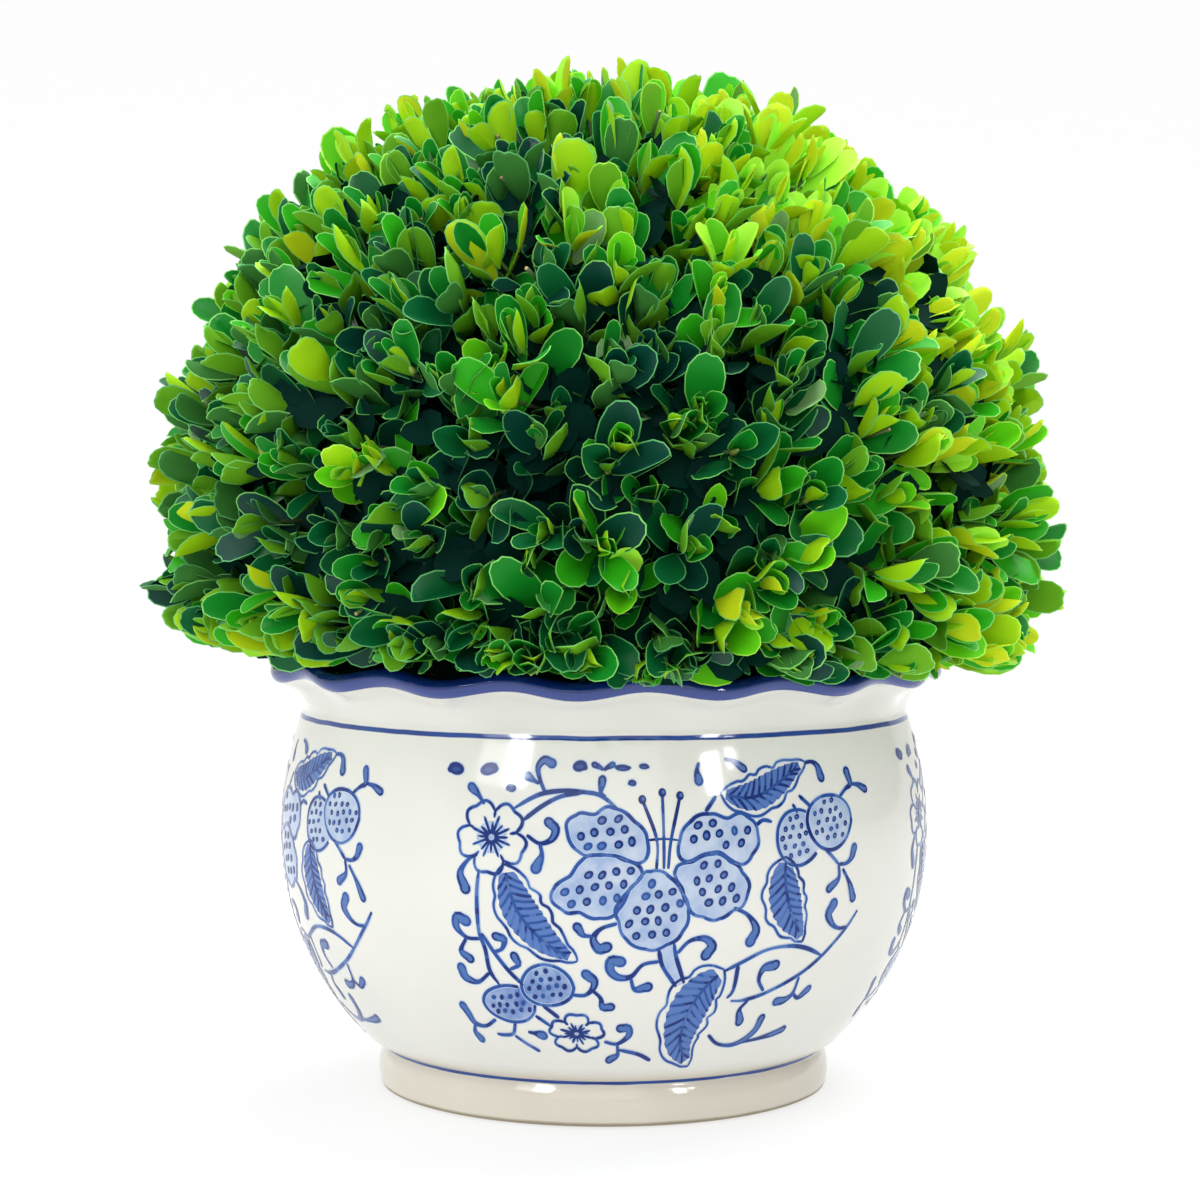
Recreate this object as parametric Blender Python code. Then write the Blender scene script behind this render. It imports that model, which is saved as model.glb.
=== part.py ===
"""A clipped box ball in a glazed pot with a scalloped rim.

Four solids, standing on z = 0 and centred on the Z axis:
    pot           turned body on a foot ring, with a flared rim that waves sixteen times round
    potting_mix   the filling, which carries the stem
    stem          the short trunk, from its root flare to the fork inside the ball
    foliage_ball  the clipped mass: a core, cut clear of the stem, that shoots and leaves stand out of

Sizes are in metres and angles in radians. The front of the pot faces -Y.
"""

import math
import random

import bmesh
import bpy
from mathutils import Matrix, Vector
from mathutils.bvhtree import BVHTree

MM = 0.001
CLEARANCE = 0.3 * MM  # between a piece and the one that carries it

# Pot: a foot ring, a belly of two arcs that meet at the widest level, and a flared rim
POT_STEPS = 64
BELLY_LEVEL = 86.5 * MM
BELLY_RADIUS = 110.0 * MM
LOWER_ARC = 96.0 * MM
UPPER_ARC = 120.0 * MM
FOOT_HEIGHT = 13.5 * MM
FOOT_WAIST_RADIUS = 75.0 * MM
FOOT_RADIUS = 76.8 * MM
FOOT_RING_WIDTH = 11.0 * MM
FOOT_EDGE = 2.6 * MM  # rounding under the foot
RECESS = 3.0 * MM  # of the base inside the foot ring
WALL = 5.5 * MM
FLOOR_LEVEL = 10.0 * MM  # inside the pot
FLOOR_RADIUS = 62.0 * MM
NECK_LEVEL = 128.0 * MM
LIP_CENTRE = Vector((110.7 * MM, 142.2 * MM))  # radius and level of the rolled lip's middle
LIP_RADIUS = 3.0 * MM

# Scallops of the rim: each dips and leans out, the saddles between them rise and lean in
SCALLOPS = 16
SCALLOP_DIP = 1.3 * MM
SCALLOP_LEAN = 1.1 * MM
SCALLOP_START = 127.5 * MM
SCALLOP_FULL = 140.0 * MM
SCALLOP_TURN = math.radians(4.4)  # how far the first dip lies from the front, towards -X

# Potting mix
MIX_STEPS = 32
MIX_EDGE_LEVEL = 125.0 * MM
MIX_TOP_LEVEL = 134.0 * MM
MIX_FLAT_RADIUS = 20.0 * MM

# Stem
STEM_STEPS = 15
STEM_FOOT = MIX_TOP_LEVEL + CLEARANCE
STEM_FORK = 176.0 * MM
STEM_RADIUS = 8.2 * MM
STEM_TIP_RADIUS = 7.0 * MM
FLARE_RADIUS = 13.5 * MM
FLARE_HEIGHT = 12.0 * MM
FLARE_LOBES = 5
FLARE_LOBE_SHARE = 0.14

# Foliage: the ball is clipped to a sphere and flat above the rim
BALL_CENTRE = Vector((0, 0, 195.0 * MM))
BALL_RADIUS = 152.5 * MM
UNDERSIDE = 151.0 * MM  # the core's flat bottom
CORE_RADIUS = 126.0 * MM
CORE_STEPS = 24
CORE_RINGS = 7
LOWEST_LEAF = 147.2 * MM  # over the pot's rim
LOWEST_TIP = 141.5 * MM  # outside the rim
RIM_CLEAR_RADIUS = 117.0 * MM

# Twigs are spread evenly over the core, and each forks just inside it into two shoots
TWIGS = 84
LOWEST_TWIG_ANGLE = math.radians(109.0)  # from straight up
TWIG_LEAN = math.radians(10.0)
FORK_RADIUS = CORE_RADIUS - 7.0 * MM
SHOOT_SPREAD = math.radians(32.0)  # of each shoot from its twig
SHOOT_LENGTH = 20.0 * MM
SHOOT_RADIUS = 1.9 * MM
SHOOT_TIP_RADIUS = 1.2 * MM
PAIR_SHARE = 0.7  # where along its shoot the opposite pair of leaves sits
PAIR_STAGGER = 0.7 * MM

LEAF_LENGTH = 33.0 * MM
LEAF_WIDTH = 21.0 * MM
LEAF_THICKNESS = 2.2 * MM
LEAF_SPREAD = math.radians(46.0)  # of a pair's leaves from their shoot
TIP_LEAF_SUNK = 3.0 * MM  # how deep its foot goes into the shoot
SHORTEST_LEAF = 0.55  # of the full length, for a leaf trimmed at the ball's surface
SEED = 11


# ---------------------------------------------------------------- materials


def material(name, colour, roughness, coat=0.0):
    made = bpy.data.materials.new(name)
    made.use_nodes = True
    shader = made.node_tree.nodes["Principled BSDF"]
    shader.inputs["Base Color"].default_value = (*colour, 1.0)
    shader.inputs["Roughness"].default_value = roughness
    shader.inputs["Metallic"].default_value = 0.0
    shader.inputs["Coat Weight"].default_value = coat
    return made


def glazed_ceramic():
    return material("glazed_ceramic", (0.78, 0.78, 0.73), 0.12, coat=0.6)


def potting_soil():
    return material("potting_soil", (0.035, 0.022, 0.014), 0.95)


def box_bark():
    return material("box_bark", (0.22, 0.17, 0.10), 0.85)


def box_leaf():
    return material("box_leaf", (0.05, 0.19, 0.02), 0.45)


# ------------------------------------------------------------------ shaping


def add_object(name, mesh, finish):
    made = bpy.data.objects.new(name, mesh)
    made.data.materials.append(finish)
    bpy.context.scene.collection.objects.link(made)
    return made


def turned(name, profile, steps):
    """A mesh turned round the Z axis from a profile of (radius, level) points, from the axis back to it."""
    shape = bmesh.new()
    points = [shape.verts.new((radius, 0, level)) for radius, level in profile]
    edges = [shape.edges.new(pair) for pair in zip(points, points[1:])]
    bmesh.ops.spin(
        shape,
        geom=points + edges,
        cent=(0, 0, 0),
        axis=(0, 0, 1),
        angle=math.tau,
        steps=steps,
    )
    bmesh.ops.remove_doubles(shape, verts=shape.verts, dist=0.01 * MM)
    bmesh.ops.recalc_face_normals(shape, faces=shape.faces)
    mesh = bpy.data.meshes.new(name)
    shape.to_mesh(mesh)
    shape.free()
    return mesh


def smooth(value):
    share = min(1.0, max(0.0, value))
    return share * share * (3 - 2 * share)


def belly(level, inset=0.0):
    """The body's radius at a level, less an inset measured square to its wall."""
    arc = UPPER_ARC if level > BELLY_LEVEL else LOWER_ARC
    middle = BELLY_RADIUS - arc
    return middle + math.sqrt((arc - inset) ** 2 - (level - BELLY_LEVEL) ** 2)


def levels(first, last, count):
    return [first + (last - first) * step / (count - 1) for step in range(count)]


def wall_points(first, last, count, inset=0.0):
    return [(belly(level, inset), level) for level in levels(first, last, count)]


def lip_points(first, last, count):
    """Points round the rolled lip, by angle above the level outward direction."""
    return [
        (LIP_CENTRE.x + LIP_RADIUS * math.cos(angle), LIP_CENTRE.y + LIP_RADIUS * math.sin(angle))
        for angle in levels(math.radians(first), math.radians(last), count)
    ]


# ---------------------------------------------------------------------- pot


def outer_profile():
    """From the middle of the base, under the foot ring and up the outside to the neck."""
    ring_inside = FOOT_RADIUS - FOOT_RING_WIDTH
    foot = [
        (0, RECESS),
        (ring_inside - RECESS, RECESS),
        (ring_inside, 0),
        (FOOT_RADIUS - FOOT_EDGE, 0),
        (FOOT_RADIUS - 0.6 * MM, 0.45 * FOOT_EDGE),
        (FOOT_RADIUS, 2 * FOOT_EDGE),
        (FOOT_RADIUS - 0.5 * MM, 0.72 * FOOT_HEIGHT),
        (FOOT_WAIST_RADIUS, FOOT_HEIGHT),
    ]
    body = wall_points(19.5 * MM, NECK_LEVEL, 9)
    flare = [(103.4 * MM, 132.2 * MM), (106.4 * MM, 136.6 * MM)]
    return foot + body + flare


def inner_profile():
    """From inside the lip down to the middle of the pot's floor."""
    throat = [(102.4 * MM, 139.2 * MM), (98.6 * MM, 133.9 * MM)]
    body = wall_points(NECK_LEVEL, 18.0 * MM, 7, inset=WALL)
    floor = [(FLOOR_RADIUS, FLOOR_LEVEL), (0, FLOOR_LEVEL)]
    return throat + body + floor


def scallop(point):
    """Moves a point of the turned pot to its place on the waving rim."""
    share = smooth((point.z - SCALLOP_START) / (SCALLOP_FULL - SCALLOP_START))
    turn = math.atan2(point.x, -point.y) + SCALLOP_TURN
    wave = share * math.cos(SCALLOPS * turn)
    radius = math.hypot(point.x, point.y)
    if radius > 0:
        stretch = 1 + SCALLOP_LEAN * wave / radius
        point.x *= stretch
        point.y *= stretch
    point.z -= SCALLOP_DIP * wave


def make_pot():
    profile = outer_profile() + lip_points(-75, 140, 6) + inner_profile()
    mesh = turned("pot", profile, POT_STEPS)
    for vertex in mesh.vertices:
        scallop(vertex.co)
    mesh.shade_smooth()
    mesh.set_sharp_from_angle(angle=math.radians(38))
    return add_object("pot", mesh, glazed_ceramic())


# --------------------------------------------------------- filling and stem


def make_potting_mix():
    """The filling, a little clear of the pot's wall all round, mounded towards the stem."""
    gap = WALL + CLEARANCE + 0.1 * MM
    wall = [(FLOOR_RADIUS - CLEARANCE, FLOOR_LEVEL + CLEARANCE)]
    wall += reversed(wall_points(NECK_LEVEL, 18.0 * MM, 7, inset=gap)[1:])
    edge = (belly(MIX_EDGE_LEVEL, gap), MIX_EDGE_LEVEL)
    profile = [
        (0, FLOOR_LEVEL + CLEARANCE),
        *wall,
        edge,
        (0.62 * edge[0], 0.5 * (MIX_EDGE_LEVEL + MIX_TOP_LEVEL) + 2 * MM),
        (MIX_FLAT_RADIUS, MIX_TOP_LEVEL),
        (0, MIX_TOP_LEVEL),
    ]
    return add_object("potting_mix", turned("potting_mix", profile, MIX_STEPS), potting_soil())


def stem_radius(level):
    """Taper of the trunk above its root flare."""
    share = (level - STEM_FOOT) / (STEM_FORK - STEM_FOOT)
    return STEM_RADIUS + (STEM_TIP_RADIUS - STEM_RADIUS) * share


def flare_at(level):
    """How much of the root flare is left at a level, from 1 at the foot to 0."""
    return (1 - smooth((level - STEM_FOOT) / FLARE_HEIGHT)) ** 1.5


def make_stem():
    rings = levels(STEM_FOOT, STEM_FOOT + FLARE_HEIGHT, 4) + levels(160 * MM, STEM_FORK, 2)
    profile = [(0, STEM_FOOT)]
    profile += [
        (stem_radius(level) + (FLARE_RADIUS - STEM_RADIUS) * flare_at(level), level) for level in rings
    ]
    profile.append((0, STEM_FORK))
    mesh = turned("stem", profile, STEM_STEPS)
    for vertex in mesh.vertices:
        lobes = math.cos(FLARE_LOBES * math.atan2(vertex.co.y, vertex.co.x))
        swell = 1 + FLARE_LOBE_SHARE * lobes * flare_at(vertex.co.z)
        vertex.co.x *= swell
        vertex.co.y *= swell
    return add_object("stem", mesh, box_bark())


# ------------------------------------------------------------------ foliage


def make_core():
    """The ball's dense inside: a sphere with a flat bottom, and a socket that clears the stem."""
    edge = math.sqrt(CORE_RADIUS**2 - (BALL_CENTRE.z - UNDERSIDE) ** 2)
    start = math.atan2(UNDERSIDE + 3 * MM - BALL_CENTRE.z, edge)
    socket = STEM_RADIUS + CLEARANCE
    profile = [
        (0, STEM_FORK + CLEARANCE),
        (stem_radius(STEM_FORK) + CLEARANCE, STEM_FORK + CLEARANCE),
        (socket, UNDERSIDE),
        (edge - 5 * MM, UNDERSIDE),
    ]
    profile += [
        (CORE_RADIUS * math.cos(angle), BALL_CENTRE.z + CORE_RADIUS * math.sin(angle))
        for angle in levels(start, math.pi / 2, CORE_RINGS)[:-1]
    ]
    profile.append((0, BALL_CENTRE.z + CORE_RADIUS))
    return add_object("foliage_ball", turned("foliage_ball", profile, CORE_STEPS), box_leaf())


def spread_directions(count, lowest):
    """Directions spread evenly over the ball by the golden angle, from straight up to the lowest angle."""
    golden = math.pi * (3 - math.sqrt(5))
    found = []
    for step in range(count):
        height = 1 - (1 - math.cos(lowest)) * (step + 0.5) / count
        ring = math.sqrt(1 - height * height)
        found.append(Vector((ring * math.cos(golden * step), ring * math.sin(golden * step), height)))
    return found


def leaned(direction, lean, turn):
    """A direction tipped away from itself by lean, towards the side given by turn."""
    side = direction.orthogonal().normalized()
    side.rotate(Matrix.Rotation(turn, 3, direction))
    return (direction * math.cos(lean) + side * math.sin(lean)).normalized()


def limb(start, end, first_radius, last_radius):
    """A three-sided tapering limb."""
    shape = bmesh.new()
    along = end - start
    turn = along.to_track_quat("Z", "Y").to_matrix().to_4x4()
    bmesh.ops.create_cone(
        shape,
        cap_ends=True,
        segments=3,
        radius1=first_radius,
        radius2=last_radius,
        depth=along.length,
        matrix=Matrix.Translation((start + end) / 2) @ turn,
    )
    return shape


def leaf(foot, along, upper, length):
    """A leaf of eight triangles: a blunt blade, widest past its middle, with a ridge on its upper side."""
    half = LEAF_WIDTH / 2
    outline = [
        (0, 0, 0),
        (0.60 * length, half, 0),
        (0.97 * length, 0.40 * half, 0),
        (0.97 * length, -0.40 * half, 0),
        (0.60 * length, -half, 0),
    ]
    across = upper.cross(along).normalized()
    frame = Matrix((along, across, along.cross(across))).transposed()
    shape = bmesh.new()
    edge = [shape.verts.new(foot + frame @ Vector(point)) for point in outline]
    ridge = shape.verts.new(foot + frame @ Vector((0.52 * length, 0, LEAF_THICKNESS)))
    shape.faces.new(reversed(edge))
    for near, far in zip(edge, edge[1:] + edge[:1]):
        shape.faces.new((near, far, ridge))
    bmesh.ops.recalc_face_normals(shape, faces=shape.faces)
    return shape


def clears_pot(point):
    outside = math.hypot(point.x, point.y) > RIM_CLEAR_RADIUS
    return point.z > (LOWEST_TIP if outside else LOWEST_LEAF)


def keeps_to_its_space(point):
    """True for a point inside the clipped ball and clear of the pot's rim."""
    return (point - BALL_CENTRE).length < BALL_RADIUS and clears_pot(point)


def clipped_length(foot, along):
    """The leaf's length, shortened where the shears would have met it, or 0 where it would be a stub."""
    length = LEAF_LENGTH
    while length > SHORTEST_LEAF * LEAF_LENGTH:
        if keeps_to_its_space(foot + along * length):
            return length
        length -= 0.5 * MM
    return 0


def shoots_of_twig(direction, chance):
    """The start and direction of the two shoots a twig forks into, and the direction square to their fork."""
    twig = leaned(direction, TWIG_LEAN * chance.random(), math.tau * chance.random())
    turn = math.tau * chance.random()
    shoots = []
    for side in (0, math.pi):
        along = leaned(twig, SHOOT_SPREAD, turn + side)
        shoots.append((BALL_CENTRE + direction * FORK_RADIUS, along, along.cross(twig).normalized()))
    return shoots


def leaves_of_shoot(start, along, across):
    """A leaf at the shoot's tip, and an opposite pair part of the way up it."""
    pair = start + along * PAIR_SHARE * SHOOT_LENGTH
    forward, sideways = along * math.cos(LEAF_SPREAD), across * math.sin(LEAF_SPREAD)
    places = [
        (start + along * (SHOOT_LENGTH - TIP_LEAF_SUNK), along, across.cross(along)),
        (pair + along * PAIR_STAGGER, forward + sideways, along),
        (pair - along * PAIR_STAGGER, forward - sideways, along),
    ]
    shapes = []
    for foot, lean, upper in places:
        length = clipped_length(foot, lean)
        if length:
            shapes.append(leaf(foot, lean, upper, length))
    return shapes


def grow():
    """Every shoot and leaf. A leaf that would cross the pot, an earlier leaf or another shoot is left out."""
    chance = random.Random(SEED)
    shoots = []
    for direction in spread_directions(TWIGS, LOWEST_TWIG_ANGLE):
        for start, along, across in shoots_of_twig(direction, chance):
            tip = start + along * SHOOT_LENGTH
            if keeps_to_its_space(tip):
                shape = limb(start, tip, SHOOT_RADIUS, SHOOT_TIP_RADIUS)
                shoots.append((shape, start, along, across))
    grown = [(shoot[0], BVHTree.FromBMesh(shoot[0])) for shoot in shoots]
    for bearer, start, along, across in shoots:
        for shape in leaves_of_shoot(start, along, across):
            tree = BVHTree.FromBMesh(shape)
            crosses = any(tree.overlap(other) for earlier, other in grown if earlier is not bearer)
            if not crosses and all(clears_pot(corner.co) for corner in shape.verts):
                grown.append((shape, tree))
    return [shape for shape, tree in grown]


def make_foliage_ball():
    """The core with all its shoots and leaves, joined into one body."""
    ball = make_core()
    growth = bpy.data.collections.new("growth")
    bpy.context.scene.collection.children.link(growth)
    for shape in grow():
        mesh = bpy.data.meshes.new("growth")
        shape.to_mesh(mesh)
        shape.free()
        growth.objects.link(bpy.data.objects.new("growth", mesh))
    join = ball.modifiers.new("join", "BOOLEAN")
    join.operation = "UNION"
    join.operand_type = "COLLECTION"
    join.collection = growth
    join.solver = "EXACT"
    bpy.context.view_layer.objects.active = ball
    bpy.ops.object.modifier_apply(modifier=join.name)
    for piece in list(growth.objects):
        bpy.data.objects.remove(piece)
    bpy.data.collections.remove(growth)
    return ball


# --------------------------------------------------------------------- main


def clear_scene():
    for old in list(bpy.data.objects):
        bpy.data.objects.remove(old)


def main():
    clear_scene()
    make_pot()
    make_potting_mix()
    make_stem()
    make_foliage_ball()


main()
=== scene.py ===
"""A clipped box ball in a painted pot, dressed over its solids.

Run as a script: each operator below makes one part of it, and the panel in the sidebar lists them.
"""

import math
import random

import bmesh
import bpy
import numpy as np
from bpy.props import FloatProperty, FloatVectorProperty, IntProperty, PointerProperty
from mathutils import Matrix, Vector, noise


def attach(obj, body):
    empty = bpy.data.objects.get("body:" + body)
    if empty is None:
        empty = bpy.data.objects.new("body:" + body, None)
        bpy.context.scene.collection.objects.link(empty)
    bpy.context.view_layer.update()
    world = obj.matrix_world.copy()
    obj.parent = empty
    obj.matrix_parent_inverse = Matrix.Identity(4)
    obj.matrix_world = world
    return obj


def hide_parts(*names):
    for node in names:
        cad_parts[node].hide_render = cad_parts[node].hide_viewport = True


bl_info = {
    "name": "Box Topiary Ball",
    "version": (1, 0, 0),
    "blender": (4, 5, 0),
    "location": "3D View > Sidebar > Topiary",
    "description": "Makes a clipped box ball in a painted, glazed pot",
    "category": "Add Mesh",
}

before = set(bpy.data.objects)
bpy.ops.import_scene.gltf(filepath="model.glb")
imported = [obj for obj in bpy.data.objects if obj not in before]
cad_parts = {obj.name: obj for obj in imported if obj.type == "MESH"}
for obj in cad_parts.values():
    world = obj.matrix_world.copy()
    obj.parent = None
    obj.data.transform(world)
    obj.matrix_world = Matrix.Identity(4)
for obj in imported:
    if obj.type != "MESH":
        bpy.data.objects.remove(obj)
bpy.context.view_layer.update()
MM = 0.001

# Levels and radii of the pot's wall
BELLY_LEVEL = 86.5 * MM
BELLY_RADIUS = 110.0 * MM
LOWER_ARC = 96.0 * MM
UPPER_ARC = 120.0 * MM
WALL = 5.5 * MM
WALL_FOOT = 18.0 * MM
NECK_LEVEL = 128.0 * MM
LIP_CENTRE = Vector((110.7 * MM, 142.2 * MM))
LIP_RADIUS = 3.0 * MM
SCALLOPS = 16
SCALLOP_DIP = 1.3 * MM
SCALLOP_LEAN = 1.1 * MM
SCALLOP_START = 127.5 * MM
SCALLOP_FULL = 140.0 * MM
SCALLOP_TURN = math.radians(4.4)
HAND_WAVER = 0.18 * MM

# Glaze: where each colour starts, and the painted lines round the pot
CLAY_TOP = 1.5 * MM
FOOT_GLAZE_TOP = 17.5 * MM
BAND_LEVEL = 139.3 * MM
LINES = ((13.6 * MM, 14.9 * MM), (125.4 * MM, 126.9 * MM))

# Filling and stem
MIX_EDGE_LEVEL = 125.0 * MM
MIX_TOP_LEVEL = 134.0 * MM
STEM_FOOT = 134.3 * MM
STEM_FORK = 176.0 * MM
STEM_RADIUS = 8.2 * MM
STEM_TIP_RADIUS = 7.0 * MM
FLARE_RADIUS = 13.5 * MM
FLARE_HEIGHT = 12.0 * MM
FLARE_LOBES = 5
FLARE_LOBE_SHARE = 0.14

# Foliage
BALL_CENTRE = Vector((0, 0, 195.0 * MM))
LOWEST_LEAF = 145.5 * MM
LOWEST_TIP = 143.6 * MM
LOWER_RISE = 0.42
RIM_CLEAR_RADIUS = 116.5 * MM
GOLDEN = math.pi * (3 - math.sqrt(5))

# How far from the ball's middle the branches end and the shoots start, in millimetres
BOUGH_REACH = 56
LIMB_REACH = 94
TWIG_REACH = 108
SHOOT_START = 110


# ----------------------------------------------------------------- settings


def colour(name, description, red, green, blue):
    """A colour property whose default is given as it looks on a screen, 0 to 255."""
    shown = (channel / 255 for channel in (red, green, blue))
    linear = [c / 12.92 if c <= 0.04045 else ((c + 0.055) / 1.055) ** 2.4 for c in shown]
    return FloatVectorProperty(
        name=name, description=description, subtype="COLOR", size=3, min=0, max=1, default=linear
    )


def length(name, description, millimetres):
    return FloatProperty(
        name=name,
        description=description,
        subtype="DISTANCE",
        unit="LENGTH",
        min=0,
        precision=4,
        default=millimetres * MM,
    )


class PotSettings(bpy.types.PropertyGroup):
    steps: IntProperty(name="Steps", description="Facets round the pot", default=288, min=64)
    roughness: FloatProperty(
        name="Roughness", description="Gloss of the glaze", default=0.085, min=0, max=1
    )
    body: colour("Body", "Glaze on the body", 223, 223, 216)
    foot: colour("Foot", "Thinner glaze on the foot ring", 210, 204, 190)
    clay: colour("Clay", "Bare clay on the standing edge", 150, 140, 118)
    throat: colour("Throat", "Glaze inside the rim", 214, 222, 212)
    band: colour("Rim band", "Colour under the rolled lip", 60, 76, 142)
    lip: colour("Lip", "Deep colour over the lip", 8, 34, 104)
    line: colour("Line", "Painted lines round the pot", 14, 66, 142)
    line_dark: colour("Line, dark", "Where a painted line pools", 4, 48, 126)


class PaintingSettings(bpy.types.PropertyGroup):
    panels: IntProperty(name="Panels", description="Painted panels round the pot", default=4, min=1)
    turn: FloatProperty(
        name="Turn",
        description="How far the first panel is turned from the front",
        subtype="ANGLE",
        unit="ROTATION",
        default=math.radians(12),
    )
    lift: length("Lift", "How far each layer of paint stands above the one below", 0.04)
    stroke: length("Stroke", "Width of a vine", 1.25)
    dark: colour("Dark", "Where the brush pools", 8, 40, 112)
    line: colour("Line", "Outlines", 32, 74, 146)
    soft: colour("Soft", "Outlines where the brush runs thin", 70, 106, 168)
    middle: colour("Middle", "Fillings of drops and leaves", 80, 114, 178)
    pale: colour("Pale", "Soft edges of the strokes", 176, 196, 226)
    wash: colour("Wash", "Washes in the petals", 186, 198, 216)
    wash_deep: colour("Wash, deep", "Where a wash gathers", 150, 171, 205)


class MixSettings(bpy.types.PropertyGroup):
    dark: colour("Dark", "Moist peat", 34, 26, 20)
    light: colour("Light", "Drier crumbs", 84, 62, 44)
    relief: length("Relief", "Height of the crumbs", 1.6)


class StemSettings(bpy.types.PropertyGroup):
    boughs: IntProperty(name="Boughs", description="Limbs at the stem's fork", default=9, min=3)
    limbs: IntProperty(name="Limbs", description="Limbs that carry the twigs", default=54, min=9)
    dark: colour("Dark", "Cracks in the bark", 62, 50, 36)
    light: colour("Light", "Ridges of the bark", 146, 128, 98)
    relief: length("Relief", "Depth of the bark's cracks", 0.9)


class FoliageSettings(bpy.types.PropertyGroup):
    radius: length("Radius", "Of the clipped ball", 152.5)
    twigs: IntProperty(name="Twigs", description="Each carries a few leafy shoots", default=300)
    shoots: IntProperty(name="Shoots", description="Each bears a few pairs of leaves", default=700)
    skirt: IntProperty(name="Skirt", description="Shoots in the ring over the rim", default=72)
    seed: IntProperty(name="Seed", description="Where chance starts", default=11)
    lowest: FloatProperty(
        name="Lowest",
        description="Angle of the lowest twigs from straight up",
        subtype="ANGLE",
        unit="ROTATION",
        default=math.radians(110),
    )
    leaf: length("Leaf", "Length of a grown leaf", 23.5)
    # Which of the upper, underside and margin tints a leaf takes follows its shoot's tone, which is
    # partly painted light and shade: lighter leaves towards the top and the right, darker ones
    # facing the front and the back
    upper_0: colour("Upper, blue", "Oldest leaves", 2, 62, 50)
    upper_1: colour("Upper, dark", "Old leaves", 2, 92, 46)
    upper_2: colour("Upper, grass", "Grown leaves", 14, 130, 34)
    upper_3: colour("Upper, middle", "Younger leaves", 44, 166, 20)
    upper_4: colour("Upper, bright", "Young leaves", 100, 206, 22)
    upper_5: colour("Upper, lime", "Newest leaves", 168, 236, 60)
    under_0: colour("Under, grey", "Shaded undersides", 60, 124, 52)
    under_1: colour("Under, green", "Undersides", 102, 168, 28)
    under_2: colour("Under, lime", "Light undersides", 158, 210, 16)
    under_3: colour("Under, olive", "Yellowing undersides", 196, 216, 22)
    edge_0: colour("Edge, green", "Leaf margins in the shade", 98, 182, 110)
    edge_1: colour("Edge, pale", "Leaf margins", 132, 212, 106)
    edge_2: colour("Edge, lime", "Margins of young leaves", 176, 236, 84)
    sage: colour("Sage", "The odd pale leaf", 128, 168, 110)
    inner: colour("Inner", "Leaves in the ball's shade", 2, 42, 36)
    twig: colour("Twig", "Green shoots", 66, 92, 40)
    cut: colour("Cut", "Clipped ends", 176, 156, 104)
    bud: colour("Bud", "Buds at the tips", 168, 192, 92)


class StudioSettings(bpy.types.PropertyGroup):
    lens: FloatProperty(
        name="Lens",
        description="Focal length",
        subtype="DISTANCE_CAMERA",
        unit="CAMERA",
        default=82.78,
    )
    distance: length("Distance", "From the camera to the pot's axis", 942.4)
    height: length("Height", "Of the camera", 202.1)
    floor: colour("Floor", "Floor and backdrop", 140, 140, 140)
    horizon: FloatProperty(name="Horizon", description="Brightness of the low sky", default=0.70)
    zenith: FloatProperty(name="Zenith", description="Brightness of the sky overhead", default=1.5)
    slant: FloatProperty(name="Slant", description="How much brighter the left is", default=0.40)
    glow: FloatProperty(name="Glow", description="Of the floor and backdrop", default=0.705)
    key: FloatProperty(name="Key", description="Brightness of the light overhead", default=5.5)
    fill: FloatProperty(name="Fill", description="Brightness of the light in front", default=1.35)
    window: FloatProperty(name="Windows", description="Brightness of the windows", default=48.0)


# ------------------------------------------------------------------ helpers


def fresh():
    """Nothing selected, in object mode."""
    if bpy.context.mode != "OBJECT":
        bpy.ops.object.mode_set(mode="OBJECT")
    bpy.ops.object.select_all(action="DESELECT")


def keep(piece, name, slot, *nodes):
    """Names a piece, makes it ride with the object, and hides the solids that it stands for."""
    piece.name = name
    piece.data.name = name
    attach(piece, "root")
    if nodes:
        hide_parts(*nodes)
    return piece


def add_node(tree, kind, inputs=None, **settings):
    made = tree.nodes.new(kind)
    for name, value in settings.items():
        setattr(made, name, value)
    for key, value in (inputs or {}).items():
        if isinstance(value, bpy.types.NodeSocket):
            tree.links.new(value, made.inputs[key])
        else:
            made.inputs[key].default_value = value
    return made


def rgba(value):
    return (*value, 1.0)


def new_finish(name, roughness, ior=1.5, shine=0.5):
    """A material with its shader's plain sockets set."""
    finish = bpy.data.materials.new(name)
    finish.use_nodes = True
    shader = finish.node_tree.nodes["Principled BSDF"]
    shader.inputs["Roughness"].default_value = roughness
    shader.inputs["IOR"].default_value = ior
    shader.inputs["Specular IOR Level"].default_value = shine
    return finish, finish.node_tree, shader


def plain_finish(name, roughness, tint, shine=0.5):
    """A material of one colour."""
    finish, _, shader = new_finish(name, roughness, shine=shine)
    shader.inputs["Base Color"].default_value = rgba(tint)
    return finish


def object_coords(tree):
    return add_node(tree, "ShaderNodeTexCoord").outputs["Object"]


def relief(tree, shader, height, strength, depth):
    """Bumps from a height, over a depth in metres."""
    inputs = {"Height": height, "Strength": strength, "Distance": depth}
    bump = add_node(tree, "ShaderNodeBump", inputs)
    tree.links.new(bump.outputs["Normal"], shader.inputs["Normal"])


def mixed(tree, share, first, second):
    """The colour between two colours, or sockets, by a share."""
    mix = add_node(tree, "ShaderNodeMix", data_type="RGBA", clamp_factor=True)
    for index, value in ((0, share), (6, first), (7, second)):
        if isinstance(value, bpy.types.NodeSocket):
            tree.links.new(value, mix.inputs[index])
        else:
            mix.inputs[index].default_value = value if index == 0 else rgba(value)
    return mix.outputs[2]


def figure(tree, operation, first, second=0.0):
    made = add_node(tree, "ShaderNodeMath", {0: first, 1: second}, operation=operation)
    return made.outputs[0]


def grain(tree, coords, scale, detail=2.0, roughness=0.5):
    made = add_node(
        tree,
        "ShaderNodeTexNoise",
        {"Vector": coords, "Scale": scale, "Detail": detail, "Roughness": roughness},
    )
    return made.outputs["Fac"]


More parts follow.
